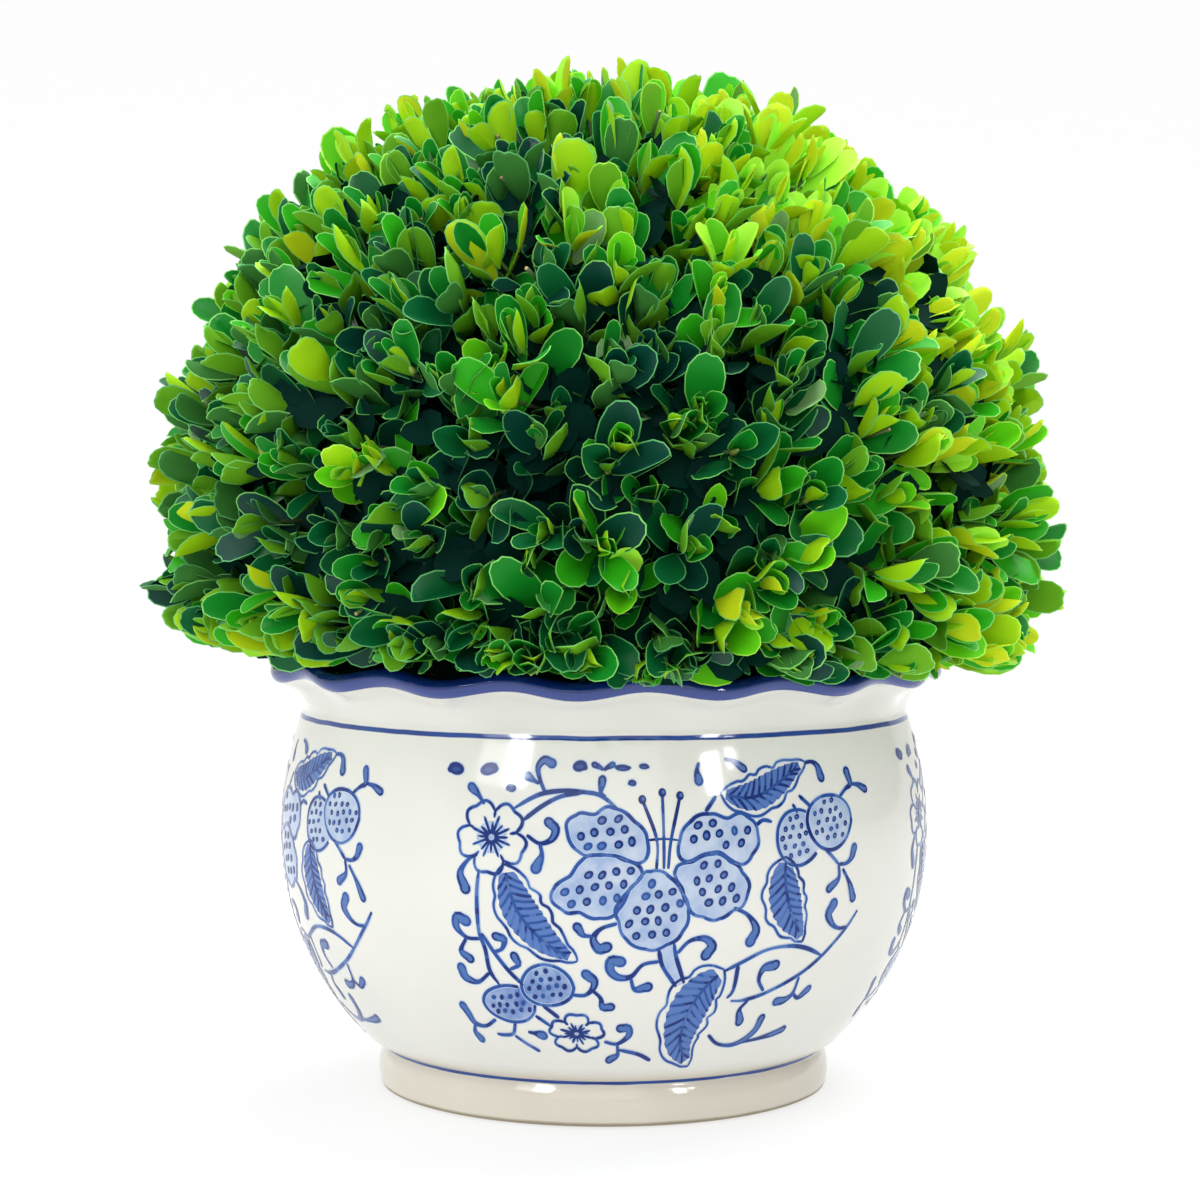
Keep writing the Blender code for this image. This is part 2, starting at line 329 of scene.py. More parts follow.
def ramp(tree, share, stops, step=False):
    """A colour ramp: stops are (place, colour or grey)."""
    made = add_node(tree, "ShaderNodeValToRGB", {"Fac": share})
    band = made.color_ramp
    band.interpolation = "CONSTANT" if step else "LINEAR"
    while len(band.elements) < len(stops):
        band.elements.new(1.0)
    for element, (place, value) in zip(band.elements, stops):
        element.position = place
        element.color = (value, value, value, 1) if isinstance(value, (int, float)) else rgba(value)
    return made.outputs["Color"]


def smooth(value):
    share = np.clip(value, 0.0, 1.0)
    return share * share * (3 - 2 * share)


def levels(first, last, count):
    return [first + (last - first) * step / (count - 1) for step in range(count)]


def spline(points, spacing, closed=False):
    """Points along a smooth curve through the given points."""
    points = [Vector(point) for point in points]
    if closed:
        points = [points[-1], *points, points[0], points[1]]
    else:
        points = [2 * points[0] - points[1], *points, 2 * points[-1] - points[-2]]
    found = []
    for before, start, end, after in zip(points, points[1:], points[2:], points[3:]):
        count = max(2, round((end - start).length / spacing))
        for step in range(count):
            t = step / count
            found.append(
                0.5
                * (
                    2 * start
                    + (end - before) * t
                    + (2 * before - 5 * start + 4 * end - after) * t * t
                    + (3 * start - before - 3 * end + after) * t**3
                )
            )
    if not closed:
        found.append(points[-2].copy())
    return found


def ahead_at(path, index):
    """Which way a path runs at one of its points."""
    return path[min(index + 1, len(path) - 1)] - path[max(index - 1, 0)]


def across_at(path, index):
    """The unit direction to the left of a flat path at one of its points."""
    ahead = ahead_at(path, index)
    return Vector((-ahead.y, ahead.x)).normalized()


def turned(profile, steps):
    """An object turned round the Z axis: a profile of (radius, level), extruded and spun."""
    fresh()
    bpy.ops.mesh.primitive_plane_add(size=MM)
    made = bpy.context.object
    bpy.ops.object.mode_set(mode="EDIT")
    bpy.ops.mesh.select_mode(type="VERT")
    bpy.ops.mesh.select_all(action="SELECT")
    bpy.ops.mesh.merge(type="CENTER")
    bpy.ops.transform.translate(value=(profile[0][0], 0, profile[0][1]))
    for (radius, level), (next_radius, next_level) in zip(profile, profile[1:]):
        step = (next_radius - radius, 0, next_level - level)
        bpy.ops.mesh.extrude_region_move(TRANSFORM_OT_translate={"value": step})
    bpy.ops.mesh.select_all(action="SELECT")
    bpy.ops.mesh.spin(steps=steps, angle=math.tau, center=(0, 0, 0), axis=(0, 0, 1))
    bpy.ops.mesh.select_all(action="SELECT")
    bpy.ops.mesh.remove_doubles(threshold=0.002 * MM)
    bpy.ops.mesh.normals_make_consistent(inside=False)
    bpy.ops.object.mode_set(mode="OBJECT")
    bpy.ops.object.shade_smooth_by_angle(angle=math.radians(38))
    return made


def points_of(mesh):
    found = np.empty(len(mesh.vertices) * 3)
    mesh.vertices.foreach_get("co", found)
    return found.reshape(-1, 3)


def place_points(mesh, points):
    mesh.vertices.foreach_set("co", points.ravel())
    mesh.update()


def joined_mesh(name, points, corners, counts, finishes, finish_index):
    """An object from its points, its faces' corners and how many corners each face has."""
    mesh = bpy.data.meshes.new(name)
    mesh.vertices.add(len(points))
    mesh.vertices.foreach_set("co", np.asarray(points, dtype=np.float32).ravel())
    mesh.loops.add(len(corners))
    mesh.loops.foreach_set("vertex_index", np.asarray(corners, dtype=np.int32))
    mesh.polygons.add(len(counts))
    starts = np.concatenate(([0], np.cumsum(counts)[:-1])).astype(np.int32)
    mesh.polygons.foreach_set("loop_start", starts)
    for finish in finishes:
        mesh.materials.append(finish)
    mesh.polygons.foreach_set("material_index", np.asarray(finish_index, dtype=np.int32))
    mesh.polygons.foreach_set("use_smooth", np.ones(len(counts), dtype=bool))
    mesh.update(calc_edges=True)
    made = bpy.data.objects.new(name, mesh)
    bpy.context.scene.collection.objects.link(made)
    return made


# ---------------------------------------------------------------------- pot


def belly(level, inset=0.0):
    """The body's radius at a level, less an inset measured square to its wall."""
    arc = UPPER_ARC if level > BELLY_LEVEL else LOWER_ARC
    return BELLY_RADIUS - arc + math.sqrt((arc - inset) ** 2 - (level - BELLY_LEVEL) ** 2)


BASE = ((0, 3), (40, 3), (62.3, 3), (63.6, 2.5), (65.2, 0.6), (66.2, 0))
BASE_CORNERS = len(BASE)


def pot_profile():
    """Round the pot's section: under the foot, up the outside, over the lip and down the inside."""

    def scaled(*points):
        return [(radius * MM, level * MM) for radius, level in points]

    base = scaled(*BASE)
    foot = scaled((74.2, 0), (75.4, 0.35), (76.2, 1.3), (76.8, 5.2), (76.5, 9.2), (75.7, 12))
    foot += scaled((75.1, 13.3), (75.4, 14.3), (76.9, 15.2), (79.2, 16.4))
    rounded_foot = [tuple(point) for point in spline(foot, 0.9 * MM)]
    outside = [(belly(level), level) for level in levels(WALL_FOOT, NECK_LEVEL, 52)]
    neck = scaled((102.9, 129.6), (103.5, 132.2), (104.6, 134.6), (106.2, 136.7))
    lip = []
    for angle in levels(math.radians(-72), math.radians(142), 16):
        radius = LIP_CENTRE.x + LIP_RADIUS * math.cos(angle)
        lip.append((radius, LIP_CENTRE.y + LIP_RADIUS * math.sin(angle)))
    throat = scaled((105.4, 142), (102.6, 139.2), (100.4, 136.6), (98.7, 133.6), (97.6, 130.6))
    inside = [(belly(level, WALL), level) for level in levels(NECK_LEVEL, WALL_FOOT, 16)]
    floor = scaled((62, 10), (0, 10))
    return base + rounded_foot + outside + neck + lip + throat + inside + floor


def along_profile(profile):
    """How far along the section each of its points lies, from 0 to 1."""
    steps = [math.dist(a, b) for a, b in zip(profile, profile[1:])]
    total = sum(steps)
    return [sum(steps[:index]) / total for index in range(len(profile))]


def scalloped(points):
    """The turned pot's points, moved to the waving rim, with the slight unevenness of the hand."""
    x, y, z = points.T
    radius = np.hypot(x, y)
    turn = np.arctan2(x, -y)
    share = smooth((z - SCALLOP_START) / (SCALLOP_FULL - SCALLOP_START))
    wave = share * np.cos(SCALLOPS * (turn + SCALLOP_TURN))
    uneven = share * HAND_WAVER * (np.sin(3 * turn + 0.6) + 0.7 * np.sin(5 * turn + 2.0))
    stretch = 1 + (SCALLOP_LEAN * wave + uneven) / np.maximum(radius, MM)
    return np.column_stack((x * stretch, y * stretch, z - SCALLOP_DIP * wave + 0.6 * uneven))


def glaze_relief(tree, shader, coords):
    """The glaze's slight waves, which make its reflections wander."""
    relief(tree, shader, grain(tree, coords, 34.0, 1.0), 0.4, 0.9 * MM)


def pot_finish(settings, profile):
    """Glaze over the section: a bare standing edge, then foot, body, lines, lip and throat."""
    finish, tree, shader = new_finish("glazed_pot", settings.roughness, ior=1.42)
    shares = along_profile(profile)
    coords = object_coords(tree)
    along = add_node(tree, "ShaderNodeAttribute", attribute_name="along").outputs["Fac"]
    total = sum(math.dist(a, b) for a, b in zip(profile, profile[1:]))
    lip_top = max(range(len(profile)), key=lambda i: profile[i][1])
    widest = max(range(len(profile)), key=lambda i: profile[i][0])

    def at(level):
        """The share of the way along the section at which its outside reaches a level."""
        for i in range(BASE_CORNERS, lip_top):
            low, high = profile[i][1], profile[i + 1][1]
            if low <= level <= high and high > low:
                part = (level - low) / (high - low)
                return shares[i] + (shares[i + 1] - shares[i]) * part
        raise ValueError(f"no wall at {level}")

    wander = figure(tree, "SUBTRACT", grain(tree, coords, 60.0, 2.0), 0.5)
    wander = figure(tree, "MULTIPLY", wander, 0.8 * MM / total)
    place = figure(tree, "ADD", along, wander)

    def past(level, soft):
        """0 below a share of the way along, 1 above it."""
        spread = soft * MM / total
        inputs = {"Value": place, "From Min": level - spread, "From Max": level + spread}
        return add_node(tree, "ShaderNodeMapRange", inputs, clamp=True).outputs["Result"]

    lip_start = shares[widest] + 0.3 * MM / total
    throat_start = shares[lip_top] + 3.2 * MM / total
    ground = settings.clay
    for start, soft, tint in (
        (at(CLAY_TOP), 0.4, settings.foot),
        (at(FOOT_GLAZE_TOP), 4.5, settings.body),
        (at(BAND_LEVEL), 0.2, settings.band),
        (lip_start, 0.6, settings.lip),
        (throat_start, 1.6, settings.throat),
    ):
        ground = mixed(tree, past(start, soft), ground, tint)
    lines = 0.0
    for low, high in LINES:
        line = figure(tree, "SUBTRACT", past(at(low), 0.12), past(at(high), 0.12))
        lines = figure(tree, "ADD", line, lines)
    pooled = ramp(tree, grain(tree, coords, 90.0, 3.0), [(0.38, 0.0), (0.66, 1.0)])
    painted = mixed(tree, pooled, settings.line, settings.line_dark)
    cloudy = grain(tree, coords, 26.0, 3.0)
    cloudy = ramp(tree, cloudy, [(0.3, (0.95, 0.95, 0.95)), (0.7, (1.0, 1.0, 1.0))])
    toned = add_node(tree, "ShaderNodeMix", data_type="RGBA", blend_type="MULTIPLY")
    toned.inputs[0].default_value = 1.0
    tree.links.new(ground, toned.inputs[6])
    tree.links.new(cloudy, toned.inputs[7])
    dressed = mixed(tree, lines, toned.outputs[2], settings.line)
    tree.links.new(painted, dressed.node.inputs[7])
    spots = add_node(tree, "ShaderNodeTexVoronoi", {"Vector": coords, "Scale": 62.0})
    near = ramp(tree, spots.outputs["Distance"], [(0.0, 1.0), (0.018, 1.0), (0.034, 0.0)])
    chosen = add_node(tree, "ShaderNodeSeparateColor", {"Color": spots.outputs["Color"]})
    rare = ramp(tree, chosen.outputs[0], [(0.0, 1.0), (0.1, 0.0)], step=True)
    speck = figure(tree, "MULTIPLY", figure(tree, "MULTIPLY", near, rare), 0.7)
    dressed = mixed(tree, speck, dressed, settings.clay)
    tree.links.new(dressed, shader.inputs["Base Color"])
    bare = ramp(tree, place, [(at(1.1 * MM), 0.8), (at(2.0 * MM), settings.roughness)])
    tree.links.new(bare, shader.inputs["Roughness"])
    glaze_relief(tree, shader, coords)
    return finish


class TOPIARY_OT_pot(bpy.types.Operator):
    """Turn the pot from its section, wave its rim and glaze it"""

    bl_idname = "topiary.pot"
    bl_label = "Pot"

    def execute(self, context):
        settings = context.scene.topiary_pot
        profile = pot_profile()
        pot = turned(profile, settings.steps)
        points = points_of(pot.data)
        section = np.array(profile)
        flat = np.column_stack((np.hypot(points[:, 0], points[:, 1]), points[:, 2]))
        nearest = np.concatenate(
            [
                np.argmin(((part[:, None] - section) ** 2).sum(2), axis=1)
                for part in np.array_split(flat, 16)
            ]
        )
        along = pot.data.attributes.new("along", "FLOAT", "POINT")
        along.data.foreach_set("value", np.array(along_profile(profile))[nearest])
        place_points(pot.data, scalloped(points))
        pot.data.materials.append(pot_finish(settings, profile))
        keep(pot, "glazed_pot", "glazed_ceramic", "pot")
        return {"FINISHED"}


# ----------------------------------------------------------------- painting
# The painting is drawn flat, in millimetres from the panel's middle and from the floor, then
# wrapped round the belly. Each shape has a layer, and a higher layer covers a lower one.

DARK, LINE, SOFT, MIDDLE, PALE, WASH, WASH_DEEP = range(7)

# In millimetres, as is the whole painting
SOFT_EDGE = 0.5  # how much wider than a stroke its pale edge is
OUTLINE = 1.1
CURL = 1.15  # width of a curl where it leaves its vine
DROP_SHARE = 1.22  # of a drop's size

PAINT_CELL = 4 * MM  # of the grid that flat paint is cut along, to follow the belly

# Stems and vines, each a run of the brush
VINES = (
    (
        (-51, 105), (-46, 108), (-41.5, 109.8), (-35, 110.6),
        (-29, 110.2), (-24, 109.2), (-18.5, 105),
    ),
    ((-48, 101.5), (-42, 106), (-36, 109), (-29, 110.2)),
    ((-62, 86), (-62.8, 79.5), (-63, 72), (-62.8, 66), (-61.3, 61), (-60.6, 54), (-58, 49.5)),
    ((-62, 66), (-58.3, 60), (-54, 54.2), (-49.6, 49.7)),
    ((-43.8, 43.2), (-38.5, 39)),
    ((-46.8, 39.5), (-41.8, 36)),
    ((8.7, 104), (12.4, 108.6)),
    ((39.3, 105), (40.9, 102.2)),
    ((42, 107.5), (46.6, 103.6)),
    ((-5.6, 61.7), (-4, 56.3), (1, 49.5)),
    ((-0.9, 63.7), (0.2, 59), (3.6, 50.5)),
    ((16.7, 53.7), (22.2, 56.1), (31.3, 59.8), (40.2, 60.4), (47.5, 59), (55.2, 55.8)),
    (
        (68.7, 69.2), (64.5, 64.2), (55.2, 55.7), (46.7, 50.2),
        (35, 45.4), (26.4, 43.5), (21.6, 43.6),
    ),
    ((21.7, 55.6), (21.6, 47.3), (19.8, 44.6)),
    ((-4.3, 23.5), (-9.5, 26), (-17.2, 27.8)),
    ((-54.7, 36.7), (-56.4, 32.8), (-60, 32), (-63, 32.2)),
    ((-56, 32), (-52.2, 29.3), (-47.5, 26.6)),
    ((25.2, 99), (28, 100.7), (31.2, 100)),
    ((51.4, 90.5), (54.5, 87.8), (57.5, 85)),
)

STEM_SIDES = (9, 10)  # the vines on the two sides of the flower's stem

# Curls that end in a drop: points, then the drop's size
TENDRILS = (
    (((-60.8, 105.9), (-63, 108.6), (-65.2, 110.6)), 1.3),
    (((-22.5, 108.9), (-24, 110), (-23.6, 113.6)), 1.2),
    (((-23.2, 116.8), (-24.2, 117.6), (-25.8, 118.3)), 0.9),
    (((-23.2, 116.8), (-22, 117.6), (-20.6, 118.3)), 0.9),
    (((-41.4, 109.9), (-43.3, 114), (-44, 117.4), (-42.1, 119.7), (-39.9, 118.8)), 1.3),
    (((-43.4, 112.6), (-45, 113.4), (-47, 114.6)), 1.2),
    (((-46.8, 97), (-42.7, 94.6), (-38.9, 96), (-37.8, 99), (-39.6, 100.8)), 1.4),
    (((-42.7, 94.6), (-42, 91.2), (-43.6, 87.4)), 1.5),
    (((-62.6, 90.6), (-65.4, 89), (-68.3, 84.7), (-66.8, 80.2)), 1.5),
    (((7.4, 118.8), (6.6, 116.2), (7, 113.6)), 1.3),
    (((16.2, 119.6), (19.4, 118.8), (22.2, 116.8)), 1.2),
    (((46.2, 117.2), (49, 117.4), (51.2, 116), (52.1, 112.8)), 1.4),
    (((59.3, 105.9), (62.6, 108.2), (65.2, 109.6), (64.4, 113.2)), 1.3),
    (((65.2, 109.6), (69, 109), (72.2, 107.6)), 1.2),
    (((57.5, 85), (61, 85), (63.5, 86.6), (64.7, 89.2)), 1.3),
    (((57.5, 85), (57.7, 80.6), (54, 77.8)), 1.3),
    (((59.4, 83.4), (63, 78.4), (65.2, 73.8)), 1.3),
    (((18.1, 74.2), (23, 71.6), (26.4, 67), (25, 63.4)), 1.6),
    (((0.4, 60.5), (4.2, 64.3), (9, 64.9), (11.8, 62.4), (10.3, 60)), 1.6),
    (((64.5, 64.2), (60.6, 64.2), (57.2, 65.8), (54.6, 69.2), (56.2, 72.2)), 1.6),
    (((33.5, 46.1), (30.6, 50), (31.6, 53.8), (35.4, 54.5)), 1.6),
    (((47.3, 49.5), (46.8, 44), (44, 42), (41, 41.8)), 1.4),
    (((46.8, 44), (50, 42.2), (53.2, 44.4)), 1.3),
    (((28.4, 43.4), (26, 40.2), (27.4, 36.4)), 1.4),
    (((16.4, 32), (21.2, 28.6), (27.4, 27.5), (32.6, 29), (36, 32.2), (36.6, 35.8)), 1.4),
    (((31.8, 28.2), (38.7, 28.8), (46, 30), (49.4, 31)), 1.2),
    (((-62.8, 64.2), (-67.3, 64.4), (-70.6, 67.6), (-70, 70.8), (-67.6, 69.9)), 1.6),
    (((-67.3, 64.4), (-69.8, 60), (-67.3, 57.7)), 1.3),
    (((-60.8, 53.3), (-65.4, 50), (-69.7, 51.2), (-70.6, 53.8)), 1.5),
    (((-58.4, 60.2), (-55.6, 61.4), (-54.6, 64.4), (-56.8, 65.2)), 1.3),
    (((-53.6, 54.8), (-50.6, 56.4), (-51.5, 58.8)), 1.3),
    (((-33.3, 47), (-29.2, 47), (-26.6, 49.2), (-26, 51.7), (-28.2, 53.6)), 1.5),
    (((-26.6, 48.6), (-24, 46), (-23.4, 43), (-21, 43)), 1.3),
    (((-61.9, 37.4), (-66.5, 34.8), (-70.6, 35.5), (-72.2, 38.8), (-73.3, 41)), 1.3),
    (((-70.6, 35.3), (-71.8, 32.4), (-70.6, 30.2)), 1.3),
    (((-18.9, 70.3), (-23.9, 68.6), (-26.3, 65.4), (-24.6, 62.2), (-22.6, 62.6)), 1.6),
    (((-26.6, 66.2), (-29.4, 66.6), (-31, 68.8)), 1.3),
    (
        (
            (-5.3, 58), (-10.5, 57), (-14.2, 53.2), (-18.4, 53),
            (-21, 55.4), (-20.6, 58.4), (-18.2, 58.2),
        ),
        1.6,
    ),
    (((-14.2, 52.6), (-12.8, 49), (-8.8, 49.6)), 1.4),
    (((-22.7, 30.8), (-17.9, 30), (-13.8, 33), (-14.2, 35.6), (-16.6, 35.6)), 1.4),
    (((-17.9, 29.8), (-17.6, 26), (-20.4, 24.2)), 1.3),
    (((-50.6, 33.6), (-48, 33.2), (-45.6, 32.7)), 1.5),
)

# The big flower: outlines of its five dotted petals
PETALS = (
    (
        (-11.5, 89), (-20.5, 91.4), (-29.6, 91.6), (-33.8, 96.6), (-34.2, 101),
        (-30.8, 103.8), (-26.2, 103.6), (-21, 105.8), (-14.6, 102.4), (-9.8, 96.3),
    ),
    (
        (1.6, 89.2), (0.2, 95.6), (4.2, 101.6), (10.2, 103.4), (15.2, 101.8),
        (20.4, 103), (25, 99.6), (25.8, 93.4), (20.3, 87.6), (11.6, 91.8),
    ),
    (
        (-11.4, 86.6), (-20, 91), (-28.6, 90.6), (-32.8, 85.5), (-38.2, 81.2),
        (-38.7, 77.2), (-34.8, 73.8), (-30.6, 73.6), (-25, 71.8), (-19.2, 73.6), (-15.4, 80.4),
    ),
    (
        (-1.2, 86.8), (5, 89.4), (11.2, 91.2), (16.6, 88.6), (19.9, 86),
        (22.9, 80.4), (20.6, 74.4), (17.4, 73.2), (13.4, 70.8), (9, 71.4), (4, 73.8), (1.2, 80),
    ),
    (
        (-9.1, 86.4), (-4.3, 85.6), (-0.2, 81.4), (3.1, 75.3), (2.5, 68.9), (-1.2, 64.3),
        (-8.5, 61.8), (-15.6, 64.8), (-18.2, 70), (-19.2, 75.4), (-15.2, 80.6), (-11, 85.4),
    ),
)
STAMENS = (
    ((-7, 87), (-6.9, 96), (-11.2, 108)),
    ((-4.7, 87), (-4.7, 96), (-4.9, 110)),
    ((-3.4, 87), (-2.4, 96), (0.7, 109)),
)
STAMEN_TIE = ((-9.6, 95.8), (-4.6, 96.1), (0.2, 95.6))

# Blossoms and fruits: middle, half width, half height, turn
BLOSSOMS = ((-58, 96, 11.4, 11.4, 0.2), (-32.7, 33.6, 10, 6.9, 0.9))
FRUITS = (
    (41.2, 94.6, 8.6, 8.6, 0.2),
    (54.2, 98.6, 9.6, 8.5, 0.9),
    (-41.7, 49.8, 8.7, 6.8, 0.4),
    (-55.4, 43.2, 9.2, 6.2, 0.7),
)

# Toothed leaves: the spine from stem to tip, and the width on each side
LEAVES = (
    (((14, 109.3), (21, 107.8), (27, 108.2), (34, 111.4), (41, 115.2), (46.4, 117.4)), 6.4, 5.6),
    (((35.8, 89), (35.8, 82), (37, 76), (39.2, 70.5), (42.4, 65.6), (45, 61.4)), 6.4, 8.4),
    (
        ((-53.8, 88), (-52.4, 81), (-50.2, 74.4), (-46, 68.4), (-40.4, 63.2), (-31.4, 58.2)),
        8.2,
        6.4,
    ),
    (((17, 54.4), (11.4, 49), (7.4, 42.4), (5.6, 35), (6.6, 28), (12.4, 20.6)), 8.4, 9.4),
)

# Single touches of the brush: place and half size
TOUCHES = (
    (-71.6, 116.2, 2.9, 1.9),
    (-60.2, 116.5, 3.0, 1.9),
    (-52.3, 111.1, 1.6, 1.3),
    (-30.7, 118, 2.3, 1.7),
    (-14.2, 113, 1.3, 1.0),
    (-17.2, 117.5, 2.5, 1.0),
    (-10.4, 117.9, 1.6, 0.9),
)


def inside(point, ring):
    """Whether a flat point lies in a ring."""
    found = False
    for (x0, y0), (x1, y1) in zip(ring, [*ring[1:], ring[0]]):
        if (y0 > point[1]) != (y1 > point[1]):
            if point[0] < x0 + (point[1] - y0) / (y1 - y0) * (x1 - x0):
                found = not found
    return found


def bending(path):
    """Which way a flat path curls: above 0 to its left."""
    first, middle, last = path[0], path[len(path) // 2], path[-1]
    before, after = middle - first, last - middle
    return before.x * after.y - before.y * after.x


def clearance(point, ring):
    """How far a flat point is from a ring's points."""
    return min(math.dist(point, other) for other in ring)


def fruit_ring(x, z, wide, high, turn):
    """A fruit's outline: an oval that is a little uneven."""
    outline = []
    for step in range(12):
        angle = math.tau * step / 12
        swell = 1 + 0.035 * math.sin(3 * angle + turn * 7)
        outline.append((x + wide * swell * math.cos(angle), z + high * swell * math.sin(angle)))
    return spline(outline, 1.0, closed=True)


class Panel:
    """One flat painted panel. Fills are outlines; strokes are runs of four-cornered pieces."""

    def __init__(self, stroke, seed):
        self.stroke_width = stroke / MM
        self.fills = []
        self.quads = []
        self.chance = random.Random(seed)

    def fill(self, ring, layer, tint):
        ring = [(p[0], p[1]) for p in ring]
        area = sum(a[0] * b[1] - b[0] * a[1] for a, b in zip(ring, [*ring[1:], ring[0]]))
        self.fills.append((ring if area > 0 else ring[::-1], layer, tint))

    def oval(self, centre, wide, high, layer, tint, turn=0.0, corners=14):
        ring = []
        for step in range(corners):
            angle = math.tau * step / corners
            x, y = wide * math.cos(angle), high * math.sin(angle)
            ring.append(
                (
                    centre[0] + x * math.cos(turn) - y * math.sin(turn),
                    centre[1] + x * math.sin(turn) + y * math.cos(turn),
                )
            )
        self.fill(ring, layer, tint)

    def ribbon(self, path, widths, layer, tints, lean=0.0):
        """A ribbon with a width and tint at each point; lean shifts it to its left, up to 1."""
        sides = []
        for index, point in enumerate(path):
            across = across_at(path, index) * widths[index] / 2
            sides.append((point + across * (1 + lean), point - across * (1 - lean)))
        for index, ((left, right), (next_left, next_right)) in enumerate(zip(sides, sides[1:])):
            self.quads.append(((right, next_right, next_left, left), layer, tints[index]))

    def brush(
        self, points, width=None, taper=(0.55, 0.5), closed=False, layer=2, pool=0.5, soft=True
    ):
        """A run of the brush, darker where it pools at its ends and where its load is heavy."""
        width = width or self.stroke_width
        path = spline(points, 1.0, closed)
        if closed:
            path = [*path, path[0]]
        count = len(path)
        start = self.chance.uniform(0, 90)
        widths, tints = [], []
        for index in range(count):
            along = index / (count - 1)
            load = noise.noise(Vector((start + index * 0.13, start, 0)))
            thin = 1.0
            if not closed:
                first = min(1.0, taper[0] + along * 5)
                last = min(1.0, taper[1] + (1 - along) * 5)
                thin = first * last
            widths.append(width * thin * (1 + 0.32 * load))
            ends = 0 if closed else max(0.0, 1 - min(along, 1 - along) * count / 3.5)
            weight = load + ends * pool
            tints.append(DARK if weight > 0.22 else LINE if weight > -0.2 else SOFT)
        if soft:
            self.ribbon(path, [w + SOFT_EDGE for w in widths], layer - 1, [PALE] * count)
        self.ribbon(path, widths, layer, tints)

    def tendril(self, points, drop):
        """A curl that swells into a drop, darker on its outer side."""
        drop *= DROP_SHARE
        path = spline(points, 0.8)
        count = len(path)
        swell = [float(smooth((index / (count - 1) - 0.25) / 0.72)) for index in range(count)]
        widths = [CURL + (1.75 * drop - CURL) * share for share in swell]
        widths[0] *= 0.7
        start = self.chance.uniform(0, 90)
        tints = []
        for index in range(count):
            load = noise.noise(Vector((start + index * 0.2, start, 0)))
            tints.append(DARK if load > 0.05 else LINE)
        self.ribbon(path, [width + SOFT_EDGE for width in widths], 1, [PALE] * count)
        self.ribbon(path, widths, 2, tints)
        first = next((i for i, width in enumerate(widths) if width > 1.8), count - 1)
        if count - first > 2:
            cores = [max(0.1, width - 1.3) for width in widths[first:]]
            lean = math.copysign(0.3, bending(path))
            self.ribbon(path[first:], cores, 3, [SOFT] * (count - first), lean)
        end, before = path[-1], path[-2]
        turn = math.atan2(end.y - before.y, end.x - before.x)
        centre = end + (end - before).normalized() * drop * 0.15
        wide = drop * self.chance.uniform(1.0, 1.15)
        high = drop * self.chance.uniform(0.9, 1.0)
        self.oval(centre, wide + 0.25, high + 0.25, 1, PALE, turn)
        self.oval(centre, wide, high, 2, DARK if self.chance.random() < 0.6 else LINE, turn)
        self.oval(centre, wide - 0.75, high - 0.7, 3, SOFT, turn, 10)

    def dots(self, ring, spacing, margin, half, core, front=None):
        """Small dots in staggered rows inside a ring, hollow where they have a core."""
        xs, ys = [p[0] for p in ring], [p[1] for p in ring]
        row, y = 0, min(ys)
        while y < max(ys):
            x = min(xs) + (spacing / 2 if row % 2 else 0)
            while x < max(xs):
                spot = (
                    x + self.chance.uniform(-0.45, 0.45),
                    y + self.chance.uniform(-0.35, 0.35) + 0.12 * (x - min(xs)),
                )
                hidden = front and (inside(spot, front) or clearance(spot, front) < margin)
                if inside(spot, ring) and clearance(spot, ring) > margin and not hidden:
                    wide = half * self.chance.uniform(0.85, 1.05)
                    high = half * self.chance.uniform(1.05, 1.3)
                    turn = self.chance.uniform(-1.2, 0.2)
                    tint = DARK if self.chance.random() < 0.7 else LINE
                    self.oval(spot, wide, high, 3, tint, turn, 12)
                    if core is not None:
                        shift = (spot[0] - 0.12, spot[1] - 0.1)
                        self.oval(shift, wide * 0.5, high * 0.5, 4, core, turn, 8)
                x += spacing
            row += 1
            y += spacing * 0.88

    def petal(self, outline):
        ring = spline(outline, 1.2, closed=True)
        middle = sum(ring, Vector((0, 0))) / len(ring)
        waves = round(len(ring) / 5.4)
        for index, point in enumerate(ring):
            bulge = 0.42 * abs(math.sin(math.pi * waves * index / len(ring))) - 0.2
            ring[index] = point + (point - middle).normalized() * bulge
        self.fill(ring, 0, WASH)
        self.brush(ring, width=OUTLINE, closed=True)
        self.dots(ring, 4.5, 2.3, 1.3, SOFT)

    def fruit(self, ring, front):
        """A dotted fruit. What lies inside the fruit in front of it isn't drawn."""
        dark = ring[0].y < 60
        self.fill(ring, 0, WASH_DEEP if dark else WASH)
        if front:
            shown = [not inside(point, front) and clearance(point, front) > 0.6 for point in ring]
            first = next(i for i, seen in enumerate(shown) if seen and not shown[i - 1])
            order = [*range(first, len(ring)), *range(first)]
            run = [ring[i] for i in order if shown[i]]
            self.brush(run[::2], width=OUTLINE, taper=(0.9, 0.9))
        else:
            self.brush(ring[::3], width=OUTLINE, closed=True)
        self.dots(ring, 2.9 if dark else 3.2, 1.5, 0.8, None if dark else SOFT, front)

    def blossom(self, x, z, wide, high, turn):
        """Five ruffled white petals round a dark, rayed middle."""

        def spot(reach, angle):
            return (x + wide * reach * math.cos(angle), z + high * reach * math.sin(angle))

